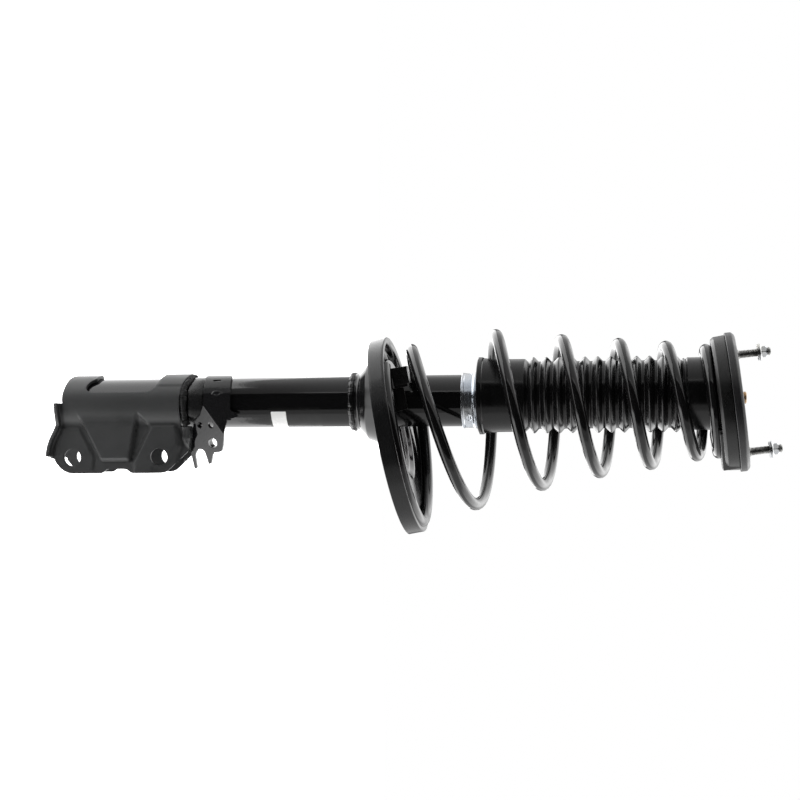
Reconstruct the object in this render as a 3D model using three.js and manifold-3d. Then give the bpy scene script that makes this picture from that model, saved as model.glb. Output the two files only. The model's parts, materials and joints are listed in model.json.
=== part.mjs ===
// A coil-over strut for a car: a twin-tube damper with a knuckle bracket, an off-centre lower spring
// seat, a tapered coil spring, a dust boot and a two-stud upper mount.
// Millimetres. +Z runs along the damper towards the upper mount, +X from the damper to the bracket's
// bolt holes. The origin is midway between the two bolt holes and between the two ears.
import * as THREE from 'three';
import { mergeVertices } from 'three/addons/utils/BufferGeometryUtils.js';
import Module from 'manifold-3d';

const wasm = await Module();
wasm.setup();

// ---- driving dimensions ----
const gap = 0.3; // between pieces that touch
const weld = 1e-4; // vertices nearer than this are one
const boltOffset = 53.5; // damper axis to the line of the bolt holes
const boltSpacing = 89.6;
const boltHoleRadius = 8.75;

const tube = { radius: 25.5, wall: 2.6, foot: -42, top: 366 };
const cylinder = { bore: 15, wall: 1.2, foot: -30, top: 349.5 };
const rod = {
  radius: 11, endRadius: 6, footRadius: 7, foot: 249, pistonSeat: 286, shoulder: 594, tip: 626.3,
};
const runningGap = 0.05; // sliding fits of the rod and the piston

const ear = { sheet: 3.6, outer: 22.3, reach: 69.6, wrap: 29.2 };
const rib = { outer: 26.3, top: 12 };
const lip = { outer: 30, outerTop: 27, foot: 73.6, top: 77.2 };

const seat = { radius: 98.7, sheet: 3.2, rim: 11.5, offset: 35, height: 281.7, tilt: -10.5 };
const wireRadius = 6;
const coilTurns = { first: -0.4, last: 6.25 };
const coilStepsPerTurn = 16;
const coilSides = 8;
// turn, height of the coil's centre, slope towards +X, offset towards +X, radius
const coilStations = [
  [-0.4, 292.1, 0.185, 34.6, 85.3],
  [-0.1, 292.1, 0.185, 34.6, 85.3],
  [0.1, 293.6, 0.187, 34.3, 85.1],
  [0.5, 314.2, 0.19, 30.5, 81.5],
  [1, 352.5, 0.134, 22.5, 80.5],
  [1.5, 390.2, 0.09, 14.4, 79],
  [2, 423, 0.08, 11.3, 72.8],
  [3, 481.9, 0.06, 8, 64],
  [4, 532.4, 0.058, 5.8, 58.4],
  [5, 575.8, 0.09, 3.6, 52.5],
  [5.4, 593, 0.11, 3.4, 50.6],
  [5.6, 595.4, 0.11, 3.4, 50.4],
  [6.25, 595.4, 0.11, 3.2, 50],
];

const boot = { offset: -4.5, foot: 366, flangeTop: 374, collarTop: 414, bellowsTop: 566, cupFoot: 569 };
const bootRadius = {
  flange: 38.3, collar: 36, collarBore: 34, peak: 38, valley: 33.2, bore: 32.4, cup: 35.3, top: 41,
};
const convolutions = 12;

const mount = { offset: 4.5, height: 614.5, tilt: -6.3, radius: 68.5, thickness: 9.5, bore: 24.3 };
const upperPad = { radius: 65, bore: 40, foot: -14.1, groove: 3.6, grooveInner: 41.5, grooveOuter: 58.5 };
const stud = { radius: 4, headRadius: 7.5, headFoot: 0.6, headTop: 3.1, tip: 42.8, washer: 29.2, nut: 31.1 };
const studPlaces = { upper: -45.5, lower: 50 };

// ---- materials ----
const finish = (color, roughness, metalness) =>
  new THREE.MeshStandardMaterial({ color, roughness, metalness });
const glossPaint = finish(0x0b0b0c, 0.22, 0.2);
const satinPaint = finish(0x2b2c2d, 0.45, 0.3);
const springPaint = finish(0x101011, 0.25, 0.2);
const zinc = finish(0xc9ced2, 0.28, 1);
const yellowZinc = finish(0xb89a5a, 0.35, 1);
const groundSteel = finish(0xb4b7ba, 0.18, 1);
const plainSteel = finish(0x8b8e91, 0.4, 1);
const sinter = finish(0x5c5e60, 0.6, 0.8);
const blackRubber = finish(0x121212, 0.75, 0);
const bootPlastic = finish(0x0d0d0e, 0.4, 0);
const foam = finish(0xc8b98a, 0.85, 0);
const bronze = finish(0x7d5b3a, 0.5, 0.7);
const bandPlastic = finish(0x3b2f2a, 0.5, 0);

// ---- geometry helpers ----
const degrees = THREE.MathUtils.degToRad;

function signedArea(points) {
  let area = 0;
  points.forEach(([x, y], k) => {
    const [nextX, nextY] = points[(k + 1) % points.length];
    area += x * nextY - nextX * y;
  });
  return area / 2;
}

// A body of revolution about Z from [radius, height] points. The outline closes on itself.
function turned(outline, sides = 20) {
  const ordered = signedArea(outline) > 0 ? outline : [...outline].reverse();
  const start = ordered.findIndex(([radius], k) => {
    const before = ordered[(k + ordered.length - 1) % ordered.length];
    return radius === 0 && before[0] === 0;
  });
  const first = Math.max(start, 0);
  const points = [...ordered.slice(first), ...ordered.slice(0, first)];
  if (start < 0) points.push(points[0]);
  const profile = points.map(([radius, height]) => new THREE.Vector2(radius, height));
  return new THREE.LatheGeometry(profile, sides).rotateX(Math.PI / 2);
}

// A plain ring or disc about Z.
const ring = (inner, outer, foot, top, sides = 20) =>
  turned([[inner, foot], [outer, foot], [outer, top], [inner, top]], sides);

// A shape of [x, z] points, given thickness from y = low to y = high.
function sidePlate(shape, low, high) {
  const depth = high - low;
  const geometry = new THREE.ExtrudeGeometry(shape, { depth, bevelEnabled: false, curveSegments: 6 });
  return geometry.rotateX(Math.PI / 2).translate(0, high, 0);
}

// A shape of [x, y] points, given length from z = low to z = high.
function column(shape, low, high, curveSegments = 20) {
  const depth = high - low;
  const geometry = new THREE.ExtrudeGeometry(shape, { depth, bevelEnabled: false, curveSegments });
  return geometry.translate(0, 0, low);
}

const polygon = (points) => new THREE.Shape(points.map(([x, y]) => new THREE.Vector2(x, y)));

function hexagon(acrossFlats) {
  const corner = acrossFlats / Math.sqrt(3);
  const angles = [0, 1, 2, 3, 4, 5].map((k) => degrees(60 * k));
  return polygon(angles.map((angle) => [corner * Math.cos(angle), corner * Math.sin(angle)]));
}

function withHole(shape, radius) {
  shape.holes.push(new THREE.Path().absarc(0, 0, radius, 0, 2 * Math.PI, true));
  return shape;
}

function solidOf(geometry) {
  const bare = geometry.clone();
  bare.deleteAttribute('normal');
  bare.deleteAttribute('uv');
  const merged = mergeVertices(bare, weld);
  const corners = merged.index.array;
  const kept = [];
  for (let k = 0; k < corners.length; k += 3) {
    const [a, b, c] = corners.slice(k, k + 3);
    if (a !== b && b !== c && c !== a) kept.push(a, b, c);
  }
  const vertProperties = merged.attributes.position.array;
  return new wasm.Manifold(new wasm.Mesh({ numProp: 3, vertProperties, triVerts: new Uint32Array(kept) }));
}

function geometryOf(solid) {
  const { vertProperties, triVerts } = solid.getMesh();
  const geometry = new THREE.BufferGeometry();
  geometry.setAttribute('position', new THREE.BufferAttribute(new Float32Array(vertProperties), 3));
  geometry.setIndex(new THREE.BufferAttribute(new Uint32Array(triVerts), 1));
  geometry.computeVertexNormals();
  return geometry;
}

const joined = (...geometries) => geometryOf(geometries.map(solidOf).reduce((sum, piece) => sum.add(piece)));

const cut = (geometry, ...tools) =>
  geometryOf(tools.map(solidOf).reduce((rest, tool) => rest.subtract(tool), solidOf(geometry)));

const common = (geometry, other) => geometryOf(solidOf(geometry).intersect(solidOf(other)));

// Turns a geometry drawn about Z onto a tilted, offset axis of the damper's frame.
const leaning = (geometry, { offset, height, tilt }) =>
  geometry.rotateY(degrees(tilt)).translate(offset, 0, height);

// ---- the coil ----
// A smooth curve through the stations, read at any turn.
function coilAt(turn) {
  const last = coilStations.length - 2;
  const next = coilStations.findIndex(([start]) => start > turn);
  const k = next < 0 ? last : Math.max(next - 1, 0);
  const at = (n) => coilStations[Math.min(Math.max(n, 0), last + 1)];
  const [before, from, to, after] = [at(k - 1), at(k), at(k + 1), at(k + 2)];
  const span = to[0] - from[0];
  const u = THREE.MathUtils.clamp((turn - from[0]) / span, 0, 1);
  return from.slice(1).map((value, n) => {
    const column = n + 1;
    const startSlope = (to[column] - before[column]) / (to[0] - before[0]);
    const endSlope = (after[column] - value) / (after[0] - from[0]);
    return (
      (1 + 2 * u) * (1 - u) ** 2 * value +
      u * (1 - u) ** 2 * span * startSlope +
      u ** 2 * (3 - 2 * u) * to[column] +
      u ** 2 * (u - 1) * span * endSlope
    );
  });
}

class CoilPath extends THREE.Curve {
  getPoint(share, target = new THREE.Vector3()) {
    const turn = THREE.MathUtils.lerp(coilTurns.first, coilTurns.last, share);
    const [height, slope, offset, radius] = coilAt(turn);
    const reach = radius * Math.cos(2 * Math.PI * turn);
    return target.set(offset + reach, radius * Math.sin(2 * Math.PI * turn), height + slope * reach);
  }
}

function coilSpring() {
  const steps = Math.round((coilTurns.last - coilTurns.first) * coilStepsPerTurn);
  const corners = Array.from({ length: coilSides }, (_, k) => {
    const angle = (2 * Math.PI * k) / coilSides;
    return [wireRadius * Math.cos(angle), wireRadius * Math.sin(angle)];
  });
  return new THREE.ExtrudeGeometry(polygon(corners), { steps, extrudePath: new CoilPath() });
}

// ---- the damper's body ----
function baseCap() {
  const inside = tube.radius - tube.wall - gap;
  return turned([
    [0, tube.foot - 1.5], [10, tube.foot], [inside, tube.foot], [inside, -37.3], [10, -36.3], [0, -36.3],
  ]);
}

function baseValve() {
  const flange = cylinder.bore + cylinder.wall;
  const boss = cylinder.bore - gap;
  return turned([
    [0, -36], [flange, -36], [flange, -30.3], [boss, -30.3], [boss, -22], [5, -20], [0, -18],
  ]);
}

function rodGuide() {
  const bore = rod.radius + 1.3;
  const outside = tube.radius - tube.wall - gap;
  const boss = cylinder.bore - gap;
  return turned([
    [bore, 343.5], [boss, 343.5], [boss, 349.8], [outside, 349.8], [outside, 360], [bore, 360],
  ]);
}

function bumpCap() {
  const inside = tube.radius + gap;
  const outside = 27.8;
  const bore = rod.radius + 1.5;
  return turned([
    [inside, 350], [outside, 350], [outside, 367.2], [outside - 2.5, 369.7],
    [bore, 369.7], [bore, 366.3], [inside, 366.3],
  ], 32);
}

// The bracket is the skin between two bodies, trimmed to its side outline, then pierced.
function bracketBody(skin) {
  const side = ear.outer - skin;
  const radius = ear.wrap - (skin ? ear.wrap - tube.radius - gap : 0);
  const bend = Math.asin(side / radius);
  const section = new THREE.Shape();
  section.moveTo(ear.reach + 5, -side);
  section.lineTo(ear.reach + 5, side);
  section.absarc(0, 0, radius, bend, 2 * Math.PI - bend, false);
  section.closePath();
  return column(section, lip.top - 170, lip.top + 20, 14);
}

function bracketRib(inset) {
  const outline = polygon([
    [rib.top, -36.5 + inset],
    [57 - inset, -17.8 + inset],
    [57 - inset, 13.3 - inset],
    [rib.top, 23.7 - inset],
  ]);
  return sidePlate(outline, inset - rib.outer, rib.outer - inset);
}

function bracketOutline() {
  const outline = new THREE.Shape();
  outline.moveTo(-32, lip.top - 2.2);
  outline.lineTo(-32, -51);
  outline.quadraticCurveTo(-17, -57.5, -3, -57);
  outline.lineTo(1, -60.8);
  outline.quadraticCurveTo(12, -60.6, 19.5, -62.5);
  outline.lineTo(30.6, -67.6);
  outline.quadraticCurveTo(52, -74.5, 57.4, -64.6);
  outline.quadraticCurveTo(ear.reach, -56, ear.reach, -45);
  outline.lineTo(ear.reach, -12.6);
  outline.lineTo(65.6, -8.5);
  outline.lineTo(65.6, 10.2);
  outline.lineTo(ear.reach, 15.3);
  outline.lineTo(ear.reach, 51.5);
  outline.lineTo(46.8, lip.top);
  outline.lineTo(18, lip.top);
  outline.lineTo(10, lip.top - 2.2);
  outline.closePath();
  return sidePlate(outline, -40, 40);
}

function bracketLeftLip() {
  const edge = [[2, -60.9], [12, -60.6], [19.5, -62.5], [30.6, -67.6], [40, -70.4], [50, -71]];
  const inner = edge.map(([x, z]) => [x, z + ear.sheet]).reverse();
  return sidePlate(polygon([...edge, ...inner]), -lip.outer, lip.outer);
}

function bracketRightLips() {
  const strip = polygon([[24, lip.foot], [50, lip.foot], [46.8, lip.top], [24, lip.top]]);
  const inner = ear.outer - 1;
  return [sidePlate(strip, -lip.outerTop, -inner), sidePlate(strip, inner, lip.outerTop)];
}

function backWindow() {
  const window = new THREE.Shape();
  window.moveTo(-45, -16);
  window.lineTo(-27, -19);
  window.quadraticCurveTo(-24, -28, -18, -29.4);
  window.quadraticCurveTo(-12, -29.5, -12, -22);
  window.lineTo(-12, 30);
  window.quadraticCurveTo(-13, 39, -22, 41);
  window.lineTo(-45, 50);
  window.closePath();
  return sidePlate(window, -40, 40);
}

function knuckleBracket() {
  const holes = [-1, 1].map((side) => {
    const hole = ring(0, boltHoleRadius, -40, 40, 24).rotateX(Math.PI / 2);
    return hole.translate(boltOffset, 0, (side * boltSpacing) / 2);
  });
  const outside = joined(bracketBody(0), bracketRib(0), bracketLeftLip());
  const skin = cut(common(outside, bracketOutline()), bracketBody(ear.sheet), bracketRib(ear.sheet));
  return cut(joined(skin, ...bracketRightLips()), backWindow(), ...holes);
}

const hose = { sheet: 2.5, foot: 91.8, top: 118.4, inner: tube.radius + gap };
// the hose bracket's plate is folded back along a slanting line
const hoseFold = { from: [0.2, 91.9], to: [29.4, 113], angle: 20 };

function hoseTab() {
  return sidePlate(polygon([
    [-2, hose.foot], hoseFold.from, hoseFold.to, [16.9, 115.6], [13.5, 128.4], [7, hose.top], [-2, hose.top],
  ]), -hose.inner - hose.sheet, -hose.inner);
}

// Turns a flat plate away from the damper's near side about the fold line.
function folded(geometry) {
  const [x, z] = hoseFold.from;
  const line = new THREE.Vector3(hoseFold.to[0] - x, 0, hoseFold.to[1] - z).normalize();
  const face = -hose.inner - hose.sheet;
  geometry.translate(-x, -face, -z);
  geometry.applyMatrix4(new THREE.Matrix4().makeRotationAxis(line, degrees(hoseFold.angle)));
  return geometry.translate(x, face, z);
}

function hosePlate() {
  const plate = new THREE.Shape();
  plate.moveTo(...hoseFold.from);
  plate.lineTo(6.9, 90.1);
  plate.quadraticCurveTo(11.6, 87.9, 13.2, 84.4);
  plate.quadraticCurveTo(14.8, 80.3, 19.5, 79.4);
  plate.lineTo(27.7, 77.8);
  plate.lineTo(38.1, 76.2);
  plate.lineTo(50.6, 73.3);
  plate.lineTo(67.8, 76);
  plate.lineTo(67.2, 78.8);
  plate.lineTo(53.5, 77.6);
  plate.quadraticCurveTo(47.1, 78.6, 47.1, 84);
  plate.quadraticCurveTo(47.1, 90.3, 53.4, 90.9);
  plate.lineTo(62.4, 92.6);
  plate.lineTo(61.4, 95.6);
  plate.lineTo(54, 96.9);
  plate.quadraticCurveTo(50.3, 97.3, 50.1, 101);
  plate.quadraticCurveTo(50.4, 109, 43.3, 110.6);
  plate.lineTo(...hoseFold.to);
  plate.closePath();
  const holes = [[22.4, 86.2, 3.1], [21.9, 98.7, 3.1], [40.6, 99.2, 4.9]];
  for (const [x, z, radius] of holes) {
    plate.holes.push(new THREE.Path().absarc(x, z, radius, 0, 2 * Math.PI, true));
  }
  const flat = sidePlate(plate, -hose.inner - hose.sheet, -hose.inner);
  return cut(folded(flat), ring(0, hose.inner, 60, 140, 64));
}

// A slender bar along the fold closes the wedge between the two flat pieces.
function hoseFoldBar() {
  const [[x, z], [endX, endZ]] = [hoseFold.from, hoseFold.to];
  const length = Math.hypot(endX - x, endZ - z);
  const [acrossX, acrossZ] = [(0.6 * (endZ - z)) / length, (-0.6 * (endX - x)) / length];
  return sidePlate(polygon([
    [x - acrossX, z - acrossZ], [x + acrossX, z + acrossZ],
    [endX + acrossX, endZ + acrossZ], [endX - acrossX, endZ - acrossZ],
  ]), -hose.inner - hose.sheet + 0.25, -hose.inner);
}

function hoseBracket() {
  const [start, end] = [degrees(110), degrees(272)];
  const band = new THREE.Shape();
  band.absarc(0, 0, hose.inner + hose.sheet, start, end, false);
  band.absarc(0, 0, hose.inner, end, start, true);
  band.closePath();
  return joined(column(band, hose.foot, hose.top, 14), hoseTab(), hosePlate(), hoseFoldBar());
}

function lowerSpringSeat() {
  const { radius, sheet, rim } = seat;
  const inner = radius - sheet;
  const dish = turned([
    [0, -2.4], [93, -2.4], [radius, 2.5], [radius, rim], [inner, rim], [inner, 4], [92.5, 0.8], [0, 0.8],
  ], 48);
  const neck = turned([[0, 241], [28, 241], [32, 258], [40, 270], [40, 278], [0, 278]], 32);
  const above = ring(0, 90, 0.8, 30, 24);
  const trimmedNeck = cut(neck, leaning(above, seat));
  const bore = ring(0, tube.radius + gap, 200, 320, 32);
  return cut(joined(leaning(dish, seat), trimmedNeck), bore);
}

function lowerSpringPad() {
  const [start, end] = [degrees(-150), degrees(36)];
  const pad = new THREE.Shape();
  pad.absarc(0, 0, 92, start, end, false);
  pad.absarc(0, 0, 77.5, end, start, true);
  pad.closePath();
  return column(pad, 1.1, 4, 14);
}

// ---- the rod and what moves with it ----
function pistonRod() {
  const { radius, endRadius, footRadius, foot, pistonSeat, shoulder, tip } = rod;
  return turned([
    [0, foot], [footRadius, foot], [footRadius, pistonSeat], [radius, pistonSeat], [radius, shoulder],
    [endRadius, shoulder], [endRadius, tip - 1], [endRadius - 1, tip], [0, tip],
  ]);
}

function piston() {
  const bore = rod.footRadius + gap;
  const [groove, outside] = [13.4, 14.2];
  const top = rod.pistonSeat - gap;
  return turned([
    [bore, 262], [outside, 262], [outside, 266], [groove, 266], [groove, 280], [outside, 280],
    [outside, top], [bore, top],
  ]);
}

function bumpStop() {
  const bore = rod.radius + gap;
  return turned([
    [bore, 520], [16, 520], [19, 524], [19, 530], [16.5, 535], [21, 541], [21, 548], [18, 554],
    [23, 560], [23, 590], [bore, 590],
  ], 24);
}

function bumpStopCup() {
  const [inside, outside] = [23.3, 25];
  const bore = rod.endRadius + gap;
  return turned([
    [inside, 578], [outside, 578], [outside, 597.3], [bore, 597.3], [bore, 594.3], [inside, 594.3],
  ]);
}

function dustBoot() {
  const { foot, flangeTop, collarTop, bellowsTop, cupFoot, offset } = boot;
  const { flange, collar, collarBore, peak, valley, bore, cup, top } = bootRadius;
  const rim = 606;
  const outline = [
    [collarBore, foot], [flange, foot], [flange, flangeTop - 1], [collar, flangeTop], [collar, collarTop],
    [valley, collarTop + 2],
  ];
  const pitch = (bellowsTop - collarTop) / convolutions;
  for (let k = 0; k < convolutions; k += 1) {
    outline.push([peak, collarTop + (k + 0.55) * pitch], [valley, collarTop + (k + 1) * pitch]);
  }
  outline.push([cup, cupFoot], [cup, rim], [bore, rim], [bore, collarTop + 1], [collarBore, collarTop - 1]);
  const sleeve = turned(outline).translate(offset, 0, 0);
  const above = ring(0, 70, upperPad.foot - 0.5, 40, 24);
  const flangeDisc = ring(0, top, upperPad.foot - 3.5, upperPad.foot - 0.5).translate(-2, 0, 0);
  const hole = ring(0, bore, 500, 640).translate(offset, 0, 0);
  return cut(joined(cut(sleeve, leaning(above, mount)), leaning(flangeDisc, mount)), hole);
}

function upperSpringPad() {
  const { radius, bore, foot, groove, grooveInner, grooveOuter } = upperPad;
  const pad = turned([
    [bore, foot], [grooveInner, foot], [grooveInner, foot + groove], [grooveOuter, foot + groove],
    [grooveOuter, foot], [radius - 2, foot], [radius, foot + 2], [radius, -gap], [bore, -gap],
  ], 32);
  const tab = new THREE.BoxGeometry(12, 18, 11).translate(radius - 2, 0, foot + 5.7);
  return joined(pad, tab);
}

function mountPlate() {
  const { radius, thickness, bore } = mount;
  const plate = turned([
    [bore, 0], [radius - 3, 0], [radius, 3], [radius, thickness - 4], [radius - 1.2, thickness - 1.2],
    [radius - 4, thickness], [bore, thickness],
  ], 36);
  const tools = Object.values(studPlaces).flatMap((x) => [
    ring(0, stud.radius + gap, -1, thickness + 1, 16).translate(x, 0, 0),
    ring(0, stud.headRadius + gap, -1, stud.headTop + gap, 16).translate(x, 0, 0),
  ]);
  return cut(plate, ...tools);
}

function mountBush() {
  const core = leaning(ring(0, mount.bore - gap, -13, 6.5), mount);
  return cut(core, ring(0, 12.3, 580, 640, 24));
}

const studBody = () => {
  const { radius, headRadius, headFoot, headTop, tip } = stud;
  return turned([
    [0, headFoot], [headRadius, headFoot], [headRadius, headTop], [radius, headTop],
    [radius, tip - 1], [radius - 1, tip], [0, tip],
  ], 16);
};

function flangeNut() {
  const bore = stud.radius + gap;
  const flange = turned([[bore, 0], [8.6, 0], [8.6, 0.8], [6.2, 2.2], [bore, 2.2]], 18);
  return joined(flange, column(withHole(hexagon(13), bore), 0.2, 8, 8));
}

// ---- assembly ----
const strut = new THREE.Group();
const damper = new THREE.Group();
damper.position.x = -boltOffset;
strut.add(damper);

function leaningGroup({ offset, height, tilt }) {
  const group = new THREE.Group();
  group.position.set(offset, 0, height);
  group.rotation.y = degrees(tilt);
  damper.add(group);
  return group;
}
const seatFrame = leaningGroup(seat);
const mountFrame = leaningGroup(mount);

function place(name, geometry, material, x = 0, z = 0, parent = damper) {
  const mesh = new THREE.Mesh(geometry, material);
  mesh.name = name;
  mesh.position.set(x, 0, z);
  parent.add(mesh);
}

place('outer_tube', ring(tube.radius - tube.wall, tube.radius, tube.foot, tube.top, 32), glossPaint);
place('base_cap', baseCap(), plainSteel);
const cylinderOutside = cylinder.bore + cylinder.wall;
place('inner_cylinder', ring(cylinder.bore, cylinderOutside, cylinder.foot, cylinder.top), plainSteel);
place('base_valve', baseValve(), sinter);
place('rod_guide', rodGuide(), sinter);
place('guide_bush', ring(rod.radius + runningGap, rod.radius + 1, 344.5, 359.5), bronze);
place('oil_seal', ring(rod.radius + gap, tube.radius - tube.wall - gap, 360.3, 364.8), blackRubber);
place('bump_cap', bumpCap(), zinc);
place('knuckle_bracket', knuckleBracket(), satinPaint);
place('hose_bracket', hoseBracket(), satinPaint);
place('lower_spring_seat', lowerSpringSeat(), glossPaint);
place('lower_spring_pad', lowerSpringPad(), blackRubber, 0, 0, seatFrame);
place('coil_spring', coilSpring(), springPaint);

place('piston_rod', pistonRod(), groundSteel);
place('piston', piston(), sinter);
place('piston_band', ring(13.7, cylinder.bore - runningGap, 266.3, 279.7), bandPlastic);
place('piston_nut', column(withHole(hexagon(19), rod.footRadius + gap), 251.5, 261.7, 8), plainSteel);
place('rebound_stop', ring(rod.radius + gap, 14.2, 325, 331), plainSteel);
place('rebound_bumper', ring(rod.radius + gap, 14, 331.3, 343.2), blackRubber);
place('bump_stop', bumpStop(), foam);
place('bump_stop_cup', bumpStopCup(), plainSteel);
place('dust_boot', dustBoot(), bootPlastic);
place('mount_bush', mountBush(), blackRubber);
place('mount_sleeve', ring(rod.endRadius + gap, 12, 597.6, 611.5, 24), plainSteel);
place('rod_nut', column(withHole(hexagon(18), rod.endRadius + gap), 611.8, 621.8, 8), yellowZinc);
place('upper_spring_pad', upperSpringPad(), blackRubber, 0, 0, mountFrame);
place('mount_plate', mountPlate(), satinPaint, 0, 0, mountFrame);
for (const [side, x] of Object.entries(studPlaces)) {
  place(`stud_${side}`, studBody(), plainSteel, x, 0, mountFrame);
  place(`washer_${side}`, ring(stud.radius + gap, 8.5, 0, 1.6, 20), zinc, x, stud.washer, mountFrame);
  place(`nut_${side}`, flangeNut(), zinc, x, stud.nut, mountFrame);
}

export default strut;
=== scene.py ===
"""A coil-over strut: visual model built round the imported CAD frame.

Lengths in the tables below are millimetres in the damper's own frame: h runs from the damper's axis
towards the knuckle bolts (+X), y along the bolts (+Y) and z along the damper (+Z). Blender gets metres.
"""
import json
import math
import random

import bmesh
import bpy
import numpy as np
from mathutils import Matrix, Vector
from mathutils.geometry import delaunay_2d_cdt


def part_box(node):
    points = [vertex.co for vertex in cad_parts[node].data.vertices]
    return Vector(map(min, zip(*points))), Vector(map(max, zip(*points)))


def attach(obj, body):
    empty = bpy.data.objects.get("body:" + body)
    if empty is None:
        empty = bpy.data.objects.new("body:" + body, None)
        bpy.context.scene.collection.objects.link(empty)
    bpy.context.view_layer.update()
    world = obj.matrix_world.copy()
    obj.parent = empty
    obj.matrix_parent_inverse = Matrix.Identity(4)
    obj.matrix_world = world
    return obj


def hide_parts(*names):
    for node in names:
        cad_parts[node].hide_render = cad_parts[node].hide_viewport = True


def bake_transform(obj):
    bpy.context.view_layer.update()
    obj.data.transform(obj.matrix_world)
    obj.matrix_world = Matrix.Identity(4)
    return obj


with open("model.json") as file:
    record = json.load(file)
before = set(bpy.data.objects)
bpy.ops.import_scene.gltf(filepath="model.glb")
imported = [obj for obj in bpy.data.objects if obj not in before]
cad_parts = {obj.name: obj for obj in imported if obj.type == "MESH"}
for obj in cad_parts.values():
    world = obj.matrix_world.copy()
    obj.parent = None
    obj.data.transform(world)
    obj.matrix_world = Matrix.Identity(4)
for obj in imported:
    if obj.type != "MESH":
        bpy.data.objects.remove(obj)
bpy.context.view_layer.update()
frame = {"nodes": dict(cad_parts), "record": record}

MM = 0.001
tube_low, tube_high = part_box("outer_tube")
AXIS_X = (tube_low.x + tube_high.x) / 2
TAU = 2 * math.pi
BODY, ROD = "damper_body", "rod"

# ---- driving dimensions ----
TUBE_R = 25.5
WRAP_R = 29.2
EAR_OUTER = 22.3
EAR_REACH = 69.6
EAR_SHEET = 3.4
RIB_OUTER = 26.3
BOLT_H = 53.5
BOLT_Z = 44.8
BOLT_HOLE_R = 8.75
SEAT = {"offset": 35.0, "height": 281.7, "tilt": -10.5}
MOUNT = {"offset": 4.5, "height": 614.5, "tilt": -6.3}
BOOT_OFFSET = -4.5
WIRE_R = 6.0
SEAT_R = 98.7
SEAT_RIM = 10.4
DEAD_TURN_R = 85.2
COIL_FIRST, COIL_LAST = -0.4, 6.15
STILL_BELOW, STILL_ABOVE = 0.66, 5.0
# turn, height of the coil's centre, slope towards h, offset towards h, radius
COIL_STATIONS = [
    (-0.4, 292.1, 0.185, 34.6, 85.3),
    (-0.1, 292.1, 0.185, 34.6, 85.3),
    (0.1, 293.6, 0.187, 34.3, 85.1),
    (0.5, 314.2, 0.19, 30.5, 81.5),
    (1, 352.5, 0.134, 22.5, 80.5),
    (1.5, 390.2, 0.09, 14.4, 79),
    (2, 423, 0.08, 11.3, 72.8),
    (3, 481.9, 0.06, 8, 64),
    (4, 532.4, 0.058, 5.8, 58.4),
    (5, 575.8, 0.09, 3.6, 52.5),
    (5.4, 593, 0.11, 3.4, 50.6),
    (5.6, 595.4, 0.11, 3.4, 50.4),
    (6.25, 595.4, 0.11, 3.2, 50),
]


# ---- shading helpers ----
class Shading:
    """The nodes of a material or of the world."""

    def __init__(self, owner):
        owner.use_nodes = True
        self.nodes, self.links = owner.node_tree.nodes, owner.node_tree.links

    def node(self, kind, **inputs):
        """A new shader node, with its inputs linked to sockets or set to values."""
        node = self.nodes.new(f"ShaderNode{kind}")
        for key, value in inputs.items():
            self.feed(node.inputs[key.replace("_", " ")], value)
        return node

    def feed(self, socket, value):
        if isinstance(value, bpy.types.NodeSocket):
            self.links.new(value, socket)
        else:
            socket.default_value = value

    def math(self, operation, *values):
        """Values put together two at a time, from the first to the last."""
        result = values[0]
        for value in values[1:]:
            node = self.node("Math")
            node.operation = operation
            self.feed(node.inputs[0], result)
            self.feed(node.inputs[1], value)
            result = node.outputs["Value"]
        return result

    def spread(self, value, low, high, to_low=0, to_high=1):
        node = self.node("MapRange", Value=value, From_Min=low, From_Max=high, To_Min=to_low, To_Max=to_high)
        return node.outputs["Result"]


class Finish(Shading):
    """A material built round one Principled shader."""

    def __init__(self, name, **constants):
        self.material = bpy.data.materials.new(name)
        super().__init__(self.material)
        self.shader = self.nodes["Principled BSDF"]
        for key, value in constants.items():
            self.shader.inputs[key.replace("_", " ")].default_value = value
        self.place = self.node("TexCoord").outputs["Object"]
        self.normal = None

    def stretched(self, z):
        """Object coordinates scaled along Z."""
        return self.node("Mapping", Scale=(1, 1, z), Vector=self.place).outputs["Vector"]

    def noise(self, scale, detail=2.0, roughness=0.5, place=None):
        settings = {"Scale": scale, "Detail": detail, "Roughness": roughness}
        return self.node("TexNoise", Vector=place or self.place, **settings).outputs["Fac"]

    def spots(self, scale):
        """Distance to the nearest of many scattered points."""
        return self.node("TexVoronoi", Scale=scale, Vector=self.place).outputs["Distance"]

    def hollows(self, high, low):
        """0 above one pointiness and 1 below another, or the other way round."""
        return self.spread(self.node("NewGeometry").outputs["Pointiness"], high, low)

    def ramp(self, value, *stops):
        """stops are (position, (r, g, b))."""
        node = self.node("ValToRGB", Fac=value)
        ramp = node.color_ramp
        while len(ramp.elements) < len(stops):
            ramp.elements.new(0.5)
        for element, (position, color) in zip(ramp.elements, stops):
            element.position, element.color = position, (*color, 1)
        return node.outputs["Color"]

    def mixed(self, share, low, high):
        """One colour turning into another: low is a socket, high a plain colour."""
        node = self.node("Mix")
        node.data_type = "RGBA"
        sockets = {socket.identifier: socket for socket in (*node.inputs, *node.outputs)}
        self.links.new(share, node.inputs["Factor"])
        self.links.new(low, sockets["A_Color"])
        sockets["B_Color"].default_value = (*high, 1)
        return sockets["Result_Color"]

    def use(self, socket, value):
        self.links.new(value, self.shader.inputs[socket])
        return self

    def bump(self, height, strength, distance):
        node = self.node("Bump", Strength=strength, Distance=distance, Height=height)
        if self.normal:
            self.links.new(self.normal, node.inputs["Normal"])
        self.normal = node.outputs["Normal"]
        return self.use("Normal", self.normal)


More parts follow.
